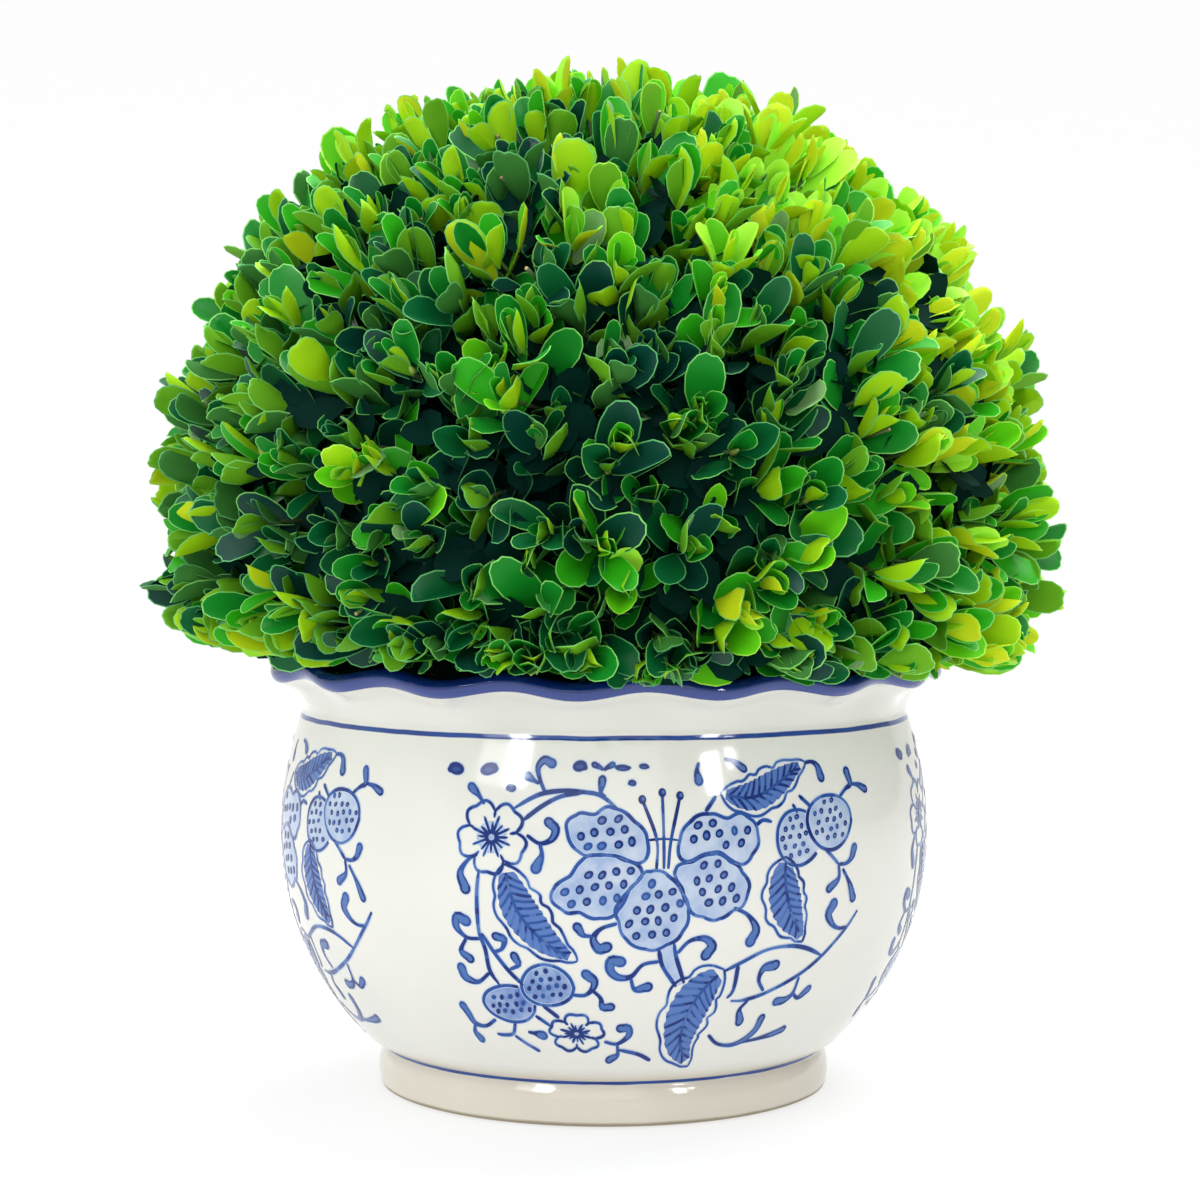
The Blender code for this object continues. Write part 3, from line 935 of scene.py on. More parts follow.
        steps = 80
        for petal in range(5):
            arc = []
            for step in range(steps // 5 + 1):
                part = step / (steps // 5)
                lobe = math.sin(math.pi * part) ** 0.5
                ruffle = 0.05 * math.cos(4 * math.pi * (part - 0.5)) * lobe
                angle = turn + math.tau * (petal + part) / 5
                arc.append(spot(0.70 + 0.29 * lobe - ruffle, angle))
            self.brush(arc[::2], width=0.95, taper=(0.7, 0.7))
            angle = turn + math.tau * petal / 5
            self.brush([spot(0.71, angle), spot(0.52, angle)], width=0.9, taper=(0.9, 0.4))
        rays = 16
        self.oval((x, z), wide * 0.44, high * 0.44, 0, WASH)
        for ray in range(rays):
            angle = math.tau * (ray + self.chance.uniform(-0.2, 0.2)) / rays
            reach = (0.58 if ray % 2 else 0.44) * self.chance.uniform(0.9, 1.08)
            ray_path = [spot(0.12, angle), spot(reach, angle)]
            self.brush(ray_path, width=0.85, taper=(1.0, 0.35), pool=0.9)
        self.oval((x, z), wide * 0.2, high * 0.2, 3, DARK)
        self.oval((x, z), wide * 0.09, high * 0.09, 4, WASH_DEEP, corners=8)

    def leaf(self, spine_points, left, right):
        """A toothed leaf: thin outline, white border, and a dark feathered body with veins."""
        spine = spline(spine_points, 0.9)
        count = len(spine)
        edges, bodies = ([], []), ([], [])
        for index, point in enumerate(spine):
            along = index / (count - 1)
            across = across_at(spine, index)
            shape = math.sin(math.pi * along**0.85) ** 0.7
            tooth = 0.85 + 0.26 * abs(math.sin(math.pi * along * 4.5)) ** 0.6
            feather = (0.92, 1.0, 0.97)[index % 3]
            for side, width in ((0, left), (1, -right)):
                edges[side].append(point + across * width * shape * tooth)
                inner = max(0.15, abs(width) * shape**1.1 * 0.84 * feather - 0.2)
                bodies[side].append(point + across * math.copysign(inner, width))
        first, last = round(count * 0.06), round(count * 0.93)
        for index in range(first, last - 1):
            here, there = spine[index], spine[index + 1]
            self.quads.append(((here, there, bodies[0][index + 1], bodies[0][index]), 1, MIDDLE))
            self.quads.append(((bodies[1][index], bodies[1][index + 1], there, here), 1, MIDDLE))
        for side in (0, 1):
            self.brush(edges[side][::2] + [edges[side][-1]], width=0.85, taper=(0.8, 0.6))
        rib = spine[first : last + 1 : 4]
        self.brush(rib, width=0.9, taper=(0.9, 0.5), layer=4, soft=False)
        for index in range(first + 1, last - 3, 3):
            for side in (0, 1):
                target = bodies[side][min(last - 1, index + 4)]
                root = spine[index]
                if (target - root).length > 0.9:
                    bend = root.lerp(target, 0.5) + (spine[index + 1] - root) * 0.3
                    vein = [root, bend, target]
                    self.brush(vein, 0.8, taper=(0.8, 0.4), layer=3, pool=0.3, soft=False)


def draw_panel(stroke, seed):
    """The whole pattern of one panel."""
    panel = Panel(stroke, seed)
    for outline in PETALS:
        panel.petal(outline)
    for leaf in LEAVES:
        panel.leaf(*leaf)
    rings = [fruit_ring(*fruit) for fruit in FRUITS]
    for ring, front in zip(rings, (rings[1], None, None, rings[2])):
        panel.fruit(ring, front)
    for blossom in BLOSSOMS:
        panel.blossom(*blossom)
    for vine in VINES:
        panel.brush(vine)
    for points, drop in TENDRILS:
        panel.tendril(points, drop)
    left, right = (spline(VINES[number], 1.2) for number in STEM_SIDES)
    panel.fill(left + right[::-1], 0, WASH)
    for points in STAMENS:
        panel.brush(points, width=1.0, taper=(0.8, 0.8), soft=False)
        panel.oval(points[-1], 1.25, 1.4, 3, DARK, corners=12)
        panel.oval((points[-1][0] + 0.3, points[-1][1] + 0.2), 0.55, 0.6, 4, SOFT, corners=8)
    panel.brush(STAMEN_TIE, width=0.7, soft=False)
    for x, z, wide, high in TOUCHES:
        for side, share in ((0, 1.0), (panel.chance.choice((-0.5, 0.5)), 0.6)):
            spot = (x + wide * side, z - high * 0.25 * abs(side))
            tilt = panel.chance.uniform(-0.4, 0.4)
            panel.oval(spot, wide * share + 0.3, high * share + 0.3, 1, PALE, tilt)
            panel.oval(spot, wide * share, high * share, 2, DARK, tilt)
        panel.oval((x, z - 0.2), wide * 0.5, high * 0.35, 3, LINE)
    return panel


def wrapped(points, turn):
    """Flat painted points, in metres, laid on the belly."""
    found = np.empty((len(points), 3))
    for index, (along, level, lift) in enumerate(points):
        angle = turn + along / BELLY_RADIUS
        radius = belly(level, -lift)
        found[index] = (radius * math.sin(angle), -radius * math.cos(angle), level)
    return found


def cut_small(shape, cell):
    """Cuts a flat mesh along a square grid, so that it can follow a curved wall."""
    bmesh.ops.triangulate(shape, faces=shape.faces[:])
    for axis in (0, 1):
        places = [vertex.co[axis] for vertex in shape.verts]
        for line in range(math.ceil(min(places) / cell), math.floor(max(places) / cell) + 1):
            middle, normal = Vector(), Vector()
            middle[axis], normal[axis] = line * cell, 1
            geometry = shape.verts[:] + shape.edges[:] + shape.faces[:]
            bmesh.ops.bisect_plane(
                shape, geom=geometry, plane_co=middle, plane_no=normal, dist=0.0005 * MM
            )


def paint_finish(name, tint, second=None):
    """Paint under the glaze: one plain blue, or a wash that gathers into a deeper one."""
    finish, tree, shader = new_finish(name, 0.085, shine=0.32)
    coords = object_coords(tree)
    if second is None:
        shader.inputs["Base Color"].default_value = rgba(tint)
    else:
        cloud = ramp(tree, grain(tree, coords, 130.0, 3.0, 0.6), [(0.36, 0.0), (0.66, 1.0)])
        tree.links.new(mixed(tree, cloud, tint, second), shader.inputs["Base Color"])
    glaze_relief(tree, shader, coords)
    return finish


def flat_shapes(panel, step):
    """A panel's washes and its strokes as flat shapes, each layer a step above the last."""
    washes, strokes = bmesh.new(), bmesh.new()

    def add(target, corners, layer, tint):
        lift = step * (layer + 1)
        placed = [target.verts.new((x * MM, z * MM, lift)) for x, z in corners]
        target.faces.new(placed).material_index = tint

    for ring, layer, tint in panel.fills:
        is_wash = layer == 0 and tint in (WASH, WASH_DEEP)
        add(washes if is_wash else strokes, ring, layer, tint)
    for shape in (washes, strokes):
        cut_small(shape, PAINT_CELL)
    for corners, layer, tint in panel.quads:
        add(strokes, corners, layer, tint)
    return washes, strokes


def lay_on(shape, turn, whole):
    """Adds a flat shape to a whole one, laid on the belly."""
    points = wrapped([tuple(vertex.co) for vertex in shape.verts], turn)
    for vertex, point in zip(shape.verts, points):
        vertex.co = point
    mesh = bpy.data.meshes.new("panel")
    shape.to_mesh(mesh)
    whole.from_mesh(mesh)
    shape.free()
    bpy.data.meshes.remove(mesh)


class TOPIARY_OT_painting(bpy.types.Operator):
    """Paint the flower panels round the pot's belly"""

    bl_idname = "topiary.painting"
    bl_label = "Painting"

    def execute(self, context):
        settings = context.scene.topiary_painting
        washes, strokes = bmesh.new(), bmesh.new()
        for number in range(settings.panels):
            panel = draw_panel(settings.stroke, 40 + number)
            turn = settings.turn + math.tau * number / settings.panels
            for shape, whole in zip(flat_shapes(panel, settings.lift), (washes, strokes)):
                lay_on(shape, turn, whole)
        wash, wash_deep = ("wash", settings.wash), ("wash_deep", settings.wash_deep)
        gathered = [(*wash, settings.wash_deep), (*wash_deep, settings.middle)]
        self.piece(context, "painted_washes", washes, WASH, gathered)
        tones = ("dark", "line", "soft", "middle", "pale")
        plain = [(f"paint_{tone}", getattr(settings, tone)) for tone in tones]
        self.piece(context, "painted_strokes", strokes, DARK, [*plain, wash, wash_deep])
        return {"FINISHED"}

    def piece(self, context, name, shape, first, finishes):
        """A painted piece, whose tints count from the first one that it has."""
        bmesh.ops.remove_doubles(shape, verts=shape.verts, dist=0.002 * MM)
        mesh = bpy.data.meshes.new(name)
        shape.to_mesh(mesh)
        shape.free()
        piece = bpy.data.objects.new(name, mesh)
        context.scene.collection.objects.link(piece)
        tints = [face.material_index - first for face in mesh.polygons]
        for finish in finishes:
            mesh.materials.append(paint_finish(*finish))
        mesh.polygons.foreach_set("material_index", tints)
        mesh.shade_smooth()
        keep(piece, name, "glazed_ceramic")


# ------------------------------------------------------------- potting mix

MIX_GAP = 0.5 * MM  # between the mix and the wall
MIX_FLOOR = 10.4 * MM


def mix_finish(settings):
    finish, tree, shader = new_finish("potting_mix", 0.95)
    coords = object_coords(tree)
    crumbs = grain(tree, coords, 420.0, 4.0, 0.7)
    tones = ramp(tree, crumbs, [(0.42, settings.dark), (0.7, settings.light)])
    tree.links.new(tones, shader.inputs["Base Color"])
    relief(tree, shader, grain(tree, coords, 700.0, 3.0), 0.8, 0.8 * MM)
    return finish


def mix_profile():
    """The section of the mix: along the pot's floor, up its wall and over the domed top."""
    gap = WALL + MIX_GAP
    profile = [(0, MIX_FLOOR), (61.5 * MM, MIX_FLOOR)]
    profile += [(belly(level, gap), level) for level in levels(20 * MM, 121 * MM, 9)]
    edge = belly(MIX_EDGE_LEVEL, gap)
    profile += [(edge, MIX_EDGE_LEVEL - 1.5 * MM), (edge - 2 * MM, MIX_EDGE_LEVEL)]
    for share in levels(0.96, 0.02, 34):
        swell = smooth((1 - share) / 0.85)
        level = MIX_EDGE_LEVEL + (MIX_TOP_LEVEL - MIX_EDGE_LEVEL) * swell
        profile.append((edge * share, level))
    return [*profile, (0, MIX_TOP_LEVEL)]


class TOPIARY_OT_potting_mix(bpy.types.Operator):
    """Fill the pot with crumbly potting mix"""

    bl_idname = "topiary.potting_mix"
    bl_label = "Potting mix"

    def execute(self, context):
        settings = context.scene.topiary_mix
        piece = turned(mix_profile(), 150)
        points = points_of(piece.data)
        for point in points:
            if point[2] > MIX_EDGE_LEVEL - MM:
                place = Vector(point) * 260
                crumbs = noise.fractal(place, 0.9, 2.1, 3) + 0.6 * noise.noise(place * 3.1)
                point[2] += settings.relief * min(0.16, max(-1.0, crumbs))
        place_points(piece.data, points)
        piece.data.materials.append(mix_finish(settings))
        keep(piece, "crumbly_mix", "potting_soil", "potting_mix")
        return {"FINISHED"}


# ---------------------------------------------------------- stem and boughs


def spread_directions(count, lowest):
    """Directions spread evenly by the golden angle, from straight up to the lowest angle."""
    found = []
    for step in range(count):
        height = 1 - (1 - math.cos(lowest)) * (step + 0.5) / count
        ring, turn = math.sqrt(1 - height * height), GOLDEN * step
        found.append(Vector((ring * math.cos(turn), ring * math.sin(turn), height)))
    return found


def leaned(direction, lean, turn):
    """A direction tipped away from itself by lean, towards the side given by turn."""
    side = direction.orthogonal().normalized()
    side.rotate(Matrix.Rotation(turn, 3, direction))
    return (direction * math.cos(lean) + side * math.sin(lean)).normalized()


def astray(direction, chance, least, most):
    """A direction leaned by a chance angle, in degrees, towards a chance side."""
    return leaned(direction, math.radians(chance.uniform(least, most)), chance.uniform(0, math.tau))


def nearest(places, place):
    return min(places, key=lambda other: (other - place).length)


class Growth:
    """The plant's skeleton, as (path, first radius, last radius): boughs, limbs and twigs."""

    def __init__(self, stem, foliage):
        self.chance = random.Random(foliage.seed)
        fork = Vector((0, 0, STEM_FORK))
        self.boughs = []
        for direction in spread_directions(stem.boughs, math.radians(96)):
            direction = astray(direction, self.chance, 0, 8)
            end = BALL_CENTRE + direction * BOUGH_REACH * MM
            bend = fork.lerp(end, 0.5) + Vector((0, 0, 5 * MM))
            self.boughs.append(([fork - Vector((0, 0, 3 * MM)), bend, end], 4.4 * MM, 2.9 * MM))
        ways = spread_directions(stem.limbs, math.radians(104))
        self.limbs = self.branches(self.boughs, ways, 6, LIMB_REACH, 0.5, 4, (2.4, 1.6))
        ways = spread_directions(foliage.twigs, foliage.lowest)
        self.twigs = self.branches(self.limbs, ways, 4, TWIG_REACH, 0.55, -3, (1.5, 1.1))

    def branches(self, parents, directions, lean, reach, share, bow, radii):
        """Branches out to a reach, each from the nearest parent's end and bowed on its way."""
        ends = [path[-1] for path, _, _ in parents]
        found = []
        for direction in directions:
            direction = astray(direction, self.chance, 0, lean)
            end = BALL_CENTRE + direction * reach * MM
            root = nearest(ends, end)
            bend = root.lerp(end, share) + direction * bow * MM
            found.append(([root, bend, end], *(radius * MM for radius in radii)))
        return found


def tube(path, first_radius, last_radius, sides, offset):
    """Points, corners and counts of a closed tapering tube along a path."""
    points, corners, counts = [], [], []
    for index, point in enumerate(path):
        ahead = ahead_at(path, index).normalized()
        across = ahead.orthogonal() if index == 0 else across - ahead * across.dot(ahead)
        across.normalize()
        other = ahead.cross(across)
        radius = first_radius + (last_radius - first_radius) * index / (len(path) - 1)
        for side in range(sides):
            angle = math.tau * side / sides
            points.append(point + (across * math.cos(angle) + other * math.sin(angle)) * radius)
    for index in range(len(path) - 1):
        for side in range(sides):
            after = (side + 1) % sides
            low, high = offset + index * sides, offset + (index + 1) * sides
            corners += [low + side, low + after, high + after, high + side]
            counts.append(4)
    last = offset + (len(path) - 1) * sides
    corners += [offset + side for side in reversed(range(sides))]
    corners += [last + side for side in range(sides)]
    counts += [sides, sides]
    return points, corners, counts


def joined_tubes(name, parts, sides, spacing, finishes, end_finish=0):
    """One object of many tubes, whose last ends may take a finish of their own."""
    points, corners, counts, index = [], [], [], []
    for path, first_radius, last_radius in parts:
        curve = spline(path, spacing)
        more, loops, sizes = tube(curve, first_radius, last_radius, sides, len(points))
        points += more
        corners += loops
        counts += sizes
        index += [0] * (len(sizes) - 1) + [end_finish]
    return joined_mesh(name, [tuple(point) for point in points], corners, counts, finishes, index)


def bark_finish(settings):
    finish, tree, shader = new_finish("bark", 0.85)
    inputs = {"Vector": object_coords(tree), "Scale": (1.0, 1.0, 0.25)}
    stretched = add_node(tree, "ShaderNodeMapping", inputs)
    ridges = grain(tree, stretched.outputs[0], 520.0, 4.0, 0.65)
    tones = ramp(tree, ridges, [(0.36, settings.dark), (0.62, settings.light)])
    tree.links.new(tones, shader.inputs["Base Color"])
    relief(tree, shader, ridges, 0.7, 0.6 * MM)
    return finish


def root_flare(level):
    """How far the trunk flares at a level, from 1 at its foot to 0."""
    return (1 - float(smooth((level - STEM_FOOT) / FLARE_HEIGHT))) ** 1.5


class TOPIARY_OT_stem(bpy.types.Operator):
    """Grow the short trunk with its root flare, and the boughs and limbs inside the ball"""

    bl_idname = "topiary.stem"
    bl_label = "Stem and boughs"

    def execute(self, context):
        settings = context.scene.topiary_stem
        growth = Growth(settings, context.scene.topiary_foliage)
        profile = [(0, STEM_FOOT)]
        for level in levels(STEM_FOOT, STEM_FORK, 44):
            narrower, height = STEM_TIP_RADIUS - STEM_RADIUS, STEM_FORK - STEM_FOOT
            taper = STEM_RADIUS + narrower * (level - STEM_FOOT) / height
            profile.append((taper + (FLARE_RADIUS - STEM_RADIUS) * root_flare(level), level))
        profile.append((0, STEM_FORK + 0.2 * MM))
        trunk = turned(profile, 96)
        points = points_of(trunk.data)
        for point in points:
            turn = math.atan2(point[1], point[0])
            swell = 1 + FLARE_LOBE_SHARE * math.cos(FLARE_LOBES * turn) * root_flare(point[2])
            radius = math.hypot(point[0], point[1])
            if radius > 3 * MM and STEM_FOOT + 0.1 * MM < point[2] < STEM_FORK:
                place = Vector((math.cos(turn) * 3.2, math.sin(turn) * 3.2, point[2] * 90))
                crack = noise.ridged_multi_fractal(place, 1.0, 2.0, 3, 1.0, 2.0)
                swell -= settings.relief * min(1.0, crack * 0.4) / radius
            point[0] *= swell
            point[1] *= swell
        place_points(trunk.data, points)
        bark = bark_finish(settings)
        trunk.data.materials.append(bark)
        keep(trunk, "bark_trunk", "box_bark", "stem")
        boughs = joined_tubes("boughs", growth.boughs + growth.limbs, 8, 6 * MM, [bark])
        keep(boughs, "boughs", "box_bark", "foliage_ball")
        return {"FINISHED"}


# ------------------------------------------------------------------ foliage

UPPER, EDGE, UNDER = range(3)
# how far along the leaf each station lies, and its half width as a share of the widest
STATIONS = (
    (0.0, 0.08),
    (0.15, 0.44),
    (0.35, 0.80),
    (0.57, 0.98),
    (0.77, 0.95),
    (0.92, 0.67),
    (0.985, 0.30),
)
ROWS = len(STATIONS)
TIP = 8 * ROWS  # the tip's three points come last
# all of these are shares of the leaf's length
MARGIN = 0.016
MARGIN_STEP = 0.004
MARGIN_DROP = 0.006
THICKNESS = 0.024
RIB_END = 0.93


def leaf_corners():
    """The corners and kinds of a leaf's faces.

    A station has five points above, left to right, then three below. Each side's faces start at
    the same corner, so both bend along the same diagonal and neither shows through the other.
    """
    faces, kinds = [], []

    def add(kind, *corners):
        faces.append(corners)
        kinds.append(kind)

    for station in range(ROWS - 1):
        low, high = 8 * station, 8 * station + 8
        add(EDGE, low, low + 1, high + 1, high)
        add(UPPER, low + 1, low + 2, high + 2, high + 1)
        add(UPPER, low + 3, high + 3, high + 2, low + 2)
        add(EDGE, low + 3, low + 4, high + 4, high + 3)
        add(EDGE, low, high, high + 5, low + 5)
        add(UNDER, low + 5, high + 5, high + 6, low + 6)
        add(UNDER, low + 7, low + 6, high + 6, high + 7)
        add(EDGE, low + 7, high + 7, high + 4, low + 4)
    low = TIP - 8
    add(EDGE, low, low + 1, TIP + 1, TIP)
    add(UPPER, low + 1, low + 2, TIP + 1)
    add(UPPER, low + 2, low + 3, TIP + 1)
    add(EDGE, low + 3, low + 4, TIP, TIP + 1)
    add(EDGE, low, TIP, TIP + 2, low + 5)
    add(UNDER, low + 5, TIP + 2, low + 6)
    add(UNDER, low + 6, TIP + 2, low + 7)
    add(EDGE, low + 7, TIP + 2, TIP, low + 4)
    add(UNDER, 0, 5, 6, 2, 1)
    add(UNDER, 2, 6, 7, 4, 3)
    return faces, kinds


def leaf_shape(broad, cup, fold, arc, twist, wave, notch):
    """Points of a leaf of length 1, from its foot at the origin along +Y, its upper side to +Z."""
    outline = [Vector((half * broad / 2, along)) for along, half in STATIONS]
    outline.append(Vector((0, 1 - notch)))
    inner = [Vector((outline[0].x * 0.4, 0))]
    for before, point, after in zip(outline, outline[1:], outline[2:]):
        ahead = (after - before).normalized()
        inner.append(point + Vector((-ahead.y, ahead.x)) * MARGIN)
    inner.append(outline[-1] - Vector((0, MARGIN * 1.2)))
    points = []
    for out, near in zip(outline[:-1], inner):
        across = out.x / (broad / 2)
        edge = broad / 2 * (cup * across**2 + fold * across)
        edge += wave * across**2 * math.sin(3 * math.pi * out.y) * 0.1
        step = edge * near.x / out.x
        middle = min(near.y, RIB_END)
        above, below = step + MARGIN_STEP, step - MARGIN_DROP
        points += [(-out.x, out.y, edge), (-near.x, near.y, above), (0, middle, 0)]
        points += [(near.x, near.y, above), (out.x, out.y, edge)]
        points += [(-near.x, near.y, below), (0, middle, -THICKNESS), (near.x, near.y, below)]
    tip = inner[-1].y
    points += [(0, outline[-1].y, 0), (0, tip, MARGIN_STEP), (0, tip, -MARGIN_DROP)]
    x, y, z = np.array(points).T
    turn = twist * y
    x, z = x * np.cos(turn) - z * np.sin(turn), x * np.sin(turn) + z * np.cos(turn)
    if abs(arc) > 1e-3:
        bent = arc * y
        y, z = np.sin(bent) / arc - z * np.sin(bent), (1 - np.cos(bent)) / arc + z * np.cos(bent)
    return np.column_stack((x, y, z))


# broad, cup, fold, arc, twist, wave, notch
LEAF_SHAPES = (
    (0.47, 0.25, 0.10, 0.20, 0.0, 0.0, 0.02),
    (0.42, 0.40, 0.20, 0.10, 0.15, 0.0, 0.0),
    (0.51, 0.30, 0.06, 0.40, -0.1, 0.2, 0.03),
    (0.42, 0.20, 0.45, 0.10, 0.2, 0.0, 0.0),
    (0.48, 0.18, 0.10, -0.25, 0.0, 0.2, 0.02),
    (0.45, 0.50, 0.10, 0.35, -0.2, 0.0, 0.01),
    (0.53, 0.10, 0.06, -0.35, 0.1, 0.3, 0.035),
    (0.49, 0.22, 0.02, 0.70, -0.15, 0.2, 0.02),
    (0.47, 0.06, 0.14, -0.70, 0.1, 0.0, 0.03),
    (0.52, -0.15, 0.00, -0.30, 0.0, 0.35, 0.03),
    (0.43, 0.15, 0.60, -0.15, -0.3, 0.0, 0.0),
    (0.47, 0.16, 0.06, 0.10, -0.6, 0.4, 0.02),
)
YOUNG_SHAPES = 6  # the first of them suit the youngest leaves too

# Each pair of leaves down a shoot: millimetres back from its tip, degrees off the shoot, length
# as a share of a grown leaf's, and how often it is there
PAIRS = (
    (0.0, 8, 0.56, 0.7),
    (3.0, 17, 0.84, 1),
    (8.5, 29, 1.0, 1),
    (16.0, 40, 0.97, 1),
    (25.0, 46, 0.92, 0.8),
)
YOUNG_PAIRS = 2

# Where the numbers of the undersides' and margins' finishes start, and that of the pale leaf
UNDERS, MARGINS, SAGE = 6, 10, 13

MOUTH_RADIUS = 103 * MM
MOUTH_LEVEL = 140 * MM  # the lowest that a leaf may reach over the mix
DRAW_BACK = 2.5 * MM
MOST_TRIANGLES = 160000  # in one piece
INNER_LEAVES = 6200
STUB_SHARE = 0.16  # of the shoots' tips end in a clipped twig
BUD_SHARE = 0.5  # of the others end in a bud


def shoot_directions(settings):
    """The direction of each shoot from the ball's middle, and by how many degrees it may wander."""
    found = [(direction, 3.5) for direction in spread_directions(settings.shoots, settings.lowest)]
    low = settings.lowest + math.radians(1)
    ring, height = math.sin(low), math.cos(low)
    for step in range(settings.skirt):
        around = math.tau * step / settings.skirt
        found.append((Vector((math.cos(around) * ring, math.sin(around) * ring, height)), 2))
    return found


def shoot_heading(direction, chance):
    """Where a shoot points: roughly outwards, and up to the light."""
    heading = astray(direction, chance, 2, 20)
    if direction.z < -0.24:
        lift = 0.14 - direction.z * 0.25
    else:
        lift = 0.36 * float(smooth((direction.z + 0.42) / 0.6)) - 0.06
    return (heading + Vector((0, 0, lift))).normalized()


def shoot_tone_with_painted_light(direction, chance):
    """How light a shoot's leaves are, from 0 for dark blue to 1 for lime: painted light and shade
    by where the shoot faces, with a random tone of its own.
    """
    x, y, z = direction
    # Painted light and shade: lighter towards the top and the right, darker where the shoot faces
    # the front or the back
    tone = 0.31 + 0.10 * float(smooth(z)) + 0.26 * (1 - abs(y)) + 0.13 * x
    # Painted light from the upper right: lighter there, darker on the upper left
    glow = (0.55 if x > 0 else 0.25) * x * max(0.0, z)
    return tone + (glow + chance.gauss(0, 0.2))


def sprig_leaves(heading, length, tone, chance):
    """A shoot's leaves round its tip, in pairs that each stand a quarter turn from the last.

    A leaf is its foot, direction, upper side, length, shape and tone.
    """
    turn = chance.uniform(0, math.tau)
    found = []
    for number, (back, angle, share, often) in enumerate(PAIRS):
        if chance.random() > often:
            continue
        around = turn + math.pi / 2 * number + chance.gauss(0, 0.16)
        side = heading.orthogonal().normalized()
        side.rotate(Matrix.Rotation(around, 3, heading))
        shapes = YOUNG_SHAPES if number < YOUNG_PAIRS else len(LEAF_SHAPES)
        for out in (side, -side):
            lean = math.radians(angle + chance.gauss(0, 11))
            along = heading * math.cos(lean) + out * math.sin(lean)
            upper = heading * math.sin(lean) - out * math.cos(lean)
            upper.rotate(Matrix.Rotation(chance.gauss(0, 0.42), 3, along))
            foot = -heading * back * MM + out * 0.7 * MM
            size = length * share * chance.uniform(0.8, 1.14)
            shape = chance.randrange(shapes)
            light = tone + chance.gauss(0, 0.08) + 0.09 * (1.5 - number)
            found.append((foot, along, upper, size, shape, light))
    return found


def clipped_reach(direction, radius, chance):
    """How far from the ball's middle a shoot was clipped: the ball is a little lumpy and ragged."""
    x, _, z = direction
    sag = 2.0 * float(smooth((-z - 0.02) / 0.25))
    high_up = float(smooth((z - 0.2) / 0.3) * smooth((1.1 - z) / 0.3))
    lumps = 2.0 * noise.noise(direction * 2.3) - high_up * max(0.0, x) * 3
    lumps -= 3.5 * float(smooth((z - 0.86) / 0.1)) + 2.5 * max(0.0, x) * (1 - abs(z))
    ragged = min(5.0, chance.gauss(-2.5, 4.0))
    return radius + (1.0 + sag + lumps + ragged) * MM


def slide(sprig, start, heading, limit):
    """How far a shoot slides along its heading until its furthest leaf meets the limit."""
    low, high = -20 * MM, 60 * MM
    for _ in range(14):
        middle = (low + high) / 2
        tip = start + heading * middle
        ends = (tip + foot + along * size for foot, along, _, size, *_ in sprig)
        reach = max((end - BALL_CENTRE).length for end in ends)
        low, high = (middle, high) if reach < limit else (low, middle)
    return low


def settled(sprig, start, heading, far, draws):
    """A shoot's tip and leaves, drawn back to where most of its leaves are clear of the pot."""
    best, found = start, []
    for draw in range(draws):
        tip = start + heading * (far - draw * DRAW_BACK)
        clear = [leaf for leaf in (lifted(tip, leaf) for leaf in sprig) if leaf]
        if len(clear) > len(found) + 1:
            best, found = tip, clear
    return best, [(best + foot, *rest) for foot, *rest in found]


def grow_leaves(settings, growth):
    """Every leaf, each shoot's path from the nearest twig, and each tip with its heading."""
    chance = random.Random(settings.seed + 1)
    leaves, shoots, tips = [], [], []
    ends = [path[-1] for path, _, _ in growth.twigs]
    for direction, wander in shoot_directions(settings):
        direction = astray(direction, chance, 0, wander)
        heading = shoot_heading(direction, chance)
        start = BALL_CENTRE + direction * SHOOT_START * MM
        length = settings.leaf * chance.uniform(0.84, 1.12)
        sprig = sprig_leaves(heading, length, shoot_tone_with_painted_light(direction, chance), chance)
        limit = clipped_reach(direction, settings.radius, chance)
        far = slide(sprig, start, heading, limit)
        tip, found = settled(sprig, start, heading, far, 1 if direction.z > 0 else 12)
        leaves += found
        if len(found) > 2 and clear_of_pot(tip):
            fork = nearest(ends, tip)
            shoots.append((fork, fork.lerp(tip, 0.5) - direction * 2 * MM, tip))
            tips.append((tip, heading))
    return leaves, shoots, tips


def clear_of_pot(place):
    """Whether a place is above the rim, and further out above the rise of the ball's lower edge."""
    reach = math.hypot(place.x, place.y)
    if reach < MOUTH_RADIUS:
        return place.z > MOUTH_LEVEL
    if reach < RIM_CLEAR_RADIUS:
        return place.z > LOWEST_LEAF
    right = place.x / reach
    floor = LOWEST_TIP + 2.8 * MM * abs(right)
    return place.z > floor + LOWER_RISE * (reach - RIM_CLEAR_RADIUS) * (0.5 - 0.5 * right)


def lifted(tip, leaf):
    """A leaf turned up until it is clear of the pot, or nothing."""
    foot, along, _, size = leaf[:4]
    if not clear_of_pot(tip + foot):
        return None
    for turn in range(7):
        risen = (along + Vector((0, 0, 0.16 * turn))).normalized()
        if clear_of_pot(tip + foot + risen * size / 2) and clear_of_pot(tip + foot + risen * size):
            return (foot, risen, *leaf[2:])
    return None


def inner_leaves(settings, count):
    """Plain leaves in the shade behind the outer ones, each pointing outwards."""
    chance = random.Random(settings.seed + 2)
    found = []
    for direction in spread_directions(count, math.radians(118)):
        heading = astray(direction, chance, 0, 25)
        start = BALL_CENTRE + heading * chance.uniform(82, 130) * MM
        along = astray(heading, chance, 40, 85)
        upper = heading - along * heading.dot(along)
        size = chance.uniform(17, 21) * MM
        if clear_of_pot(start) and clear_of_pot(start + along * size):
            found.append((start, along, upper.normalized(), size))
    return found


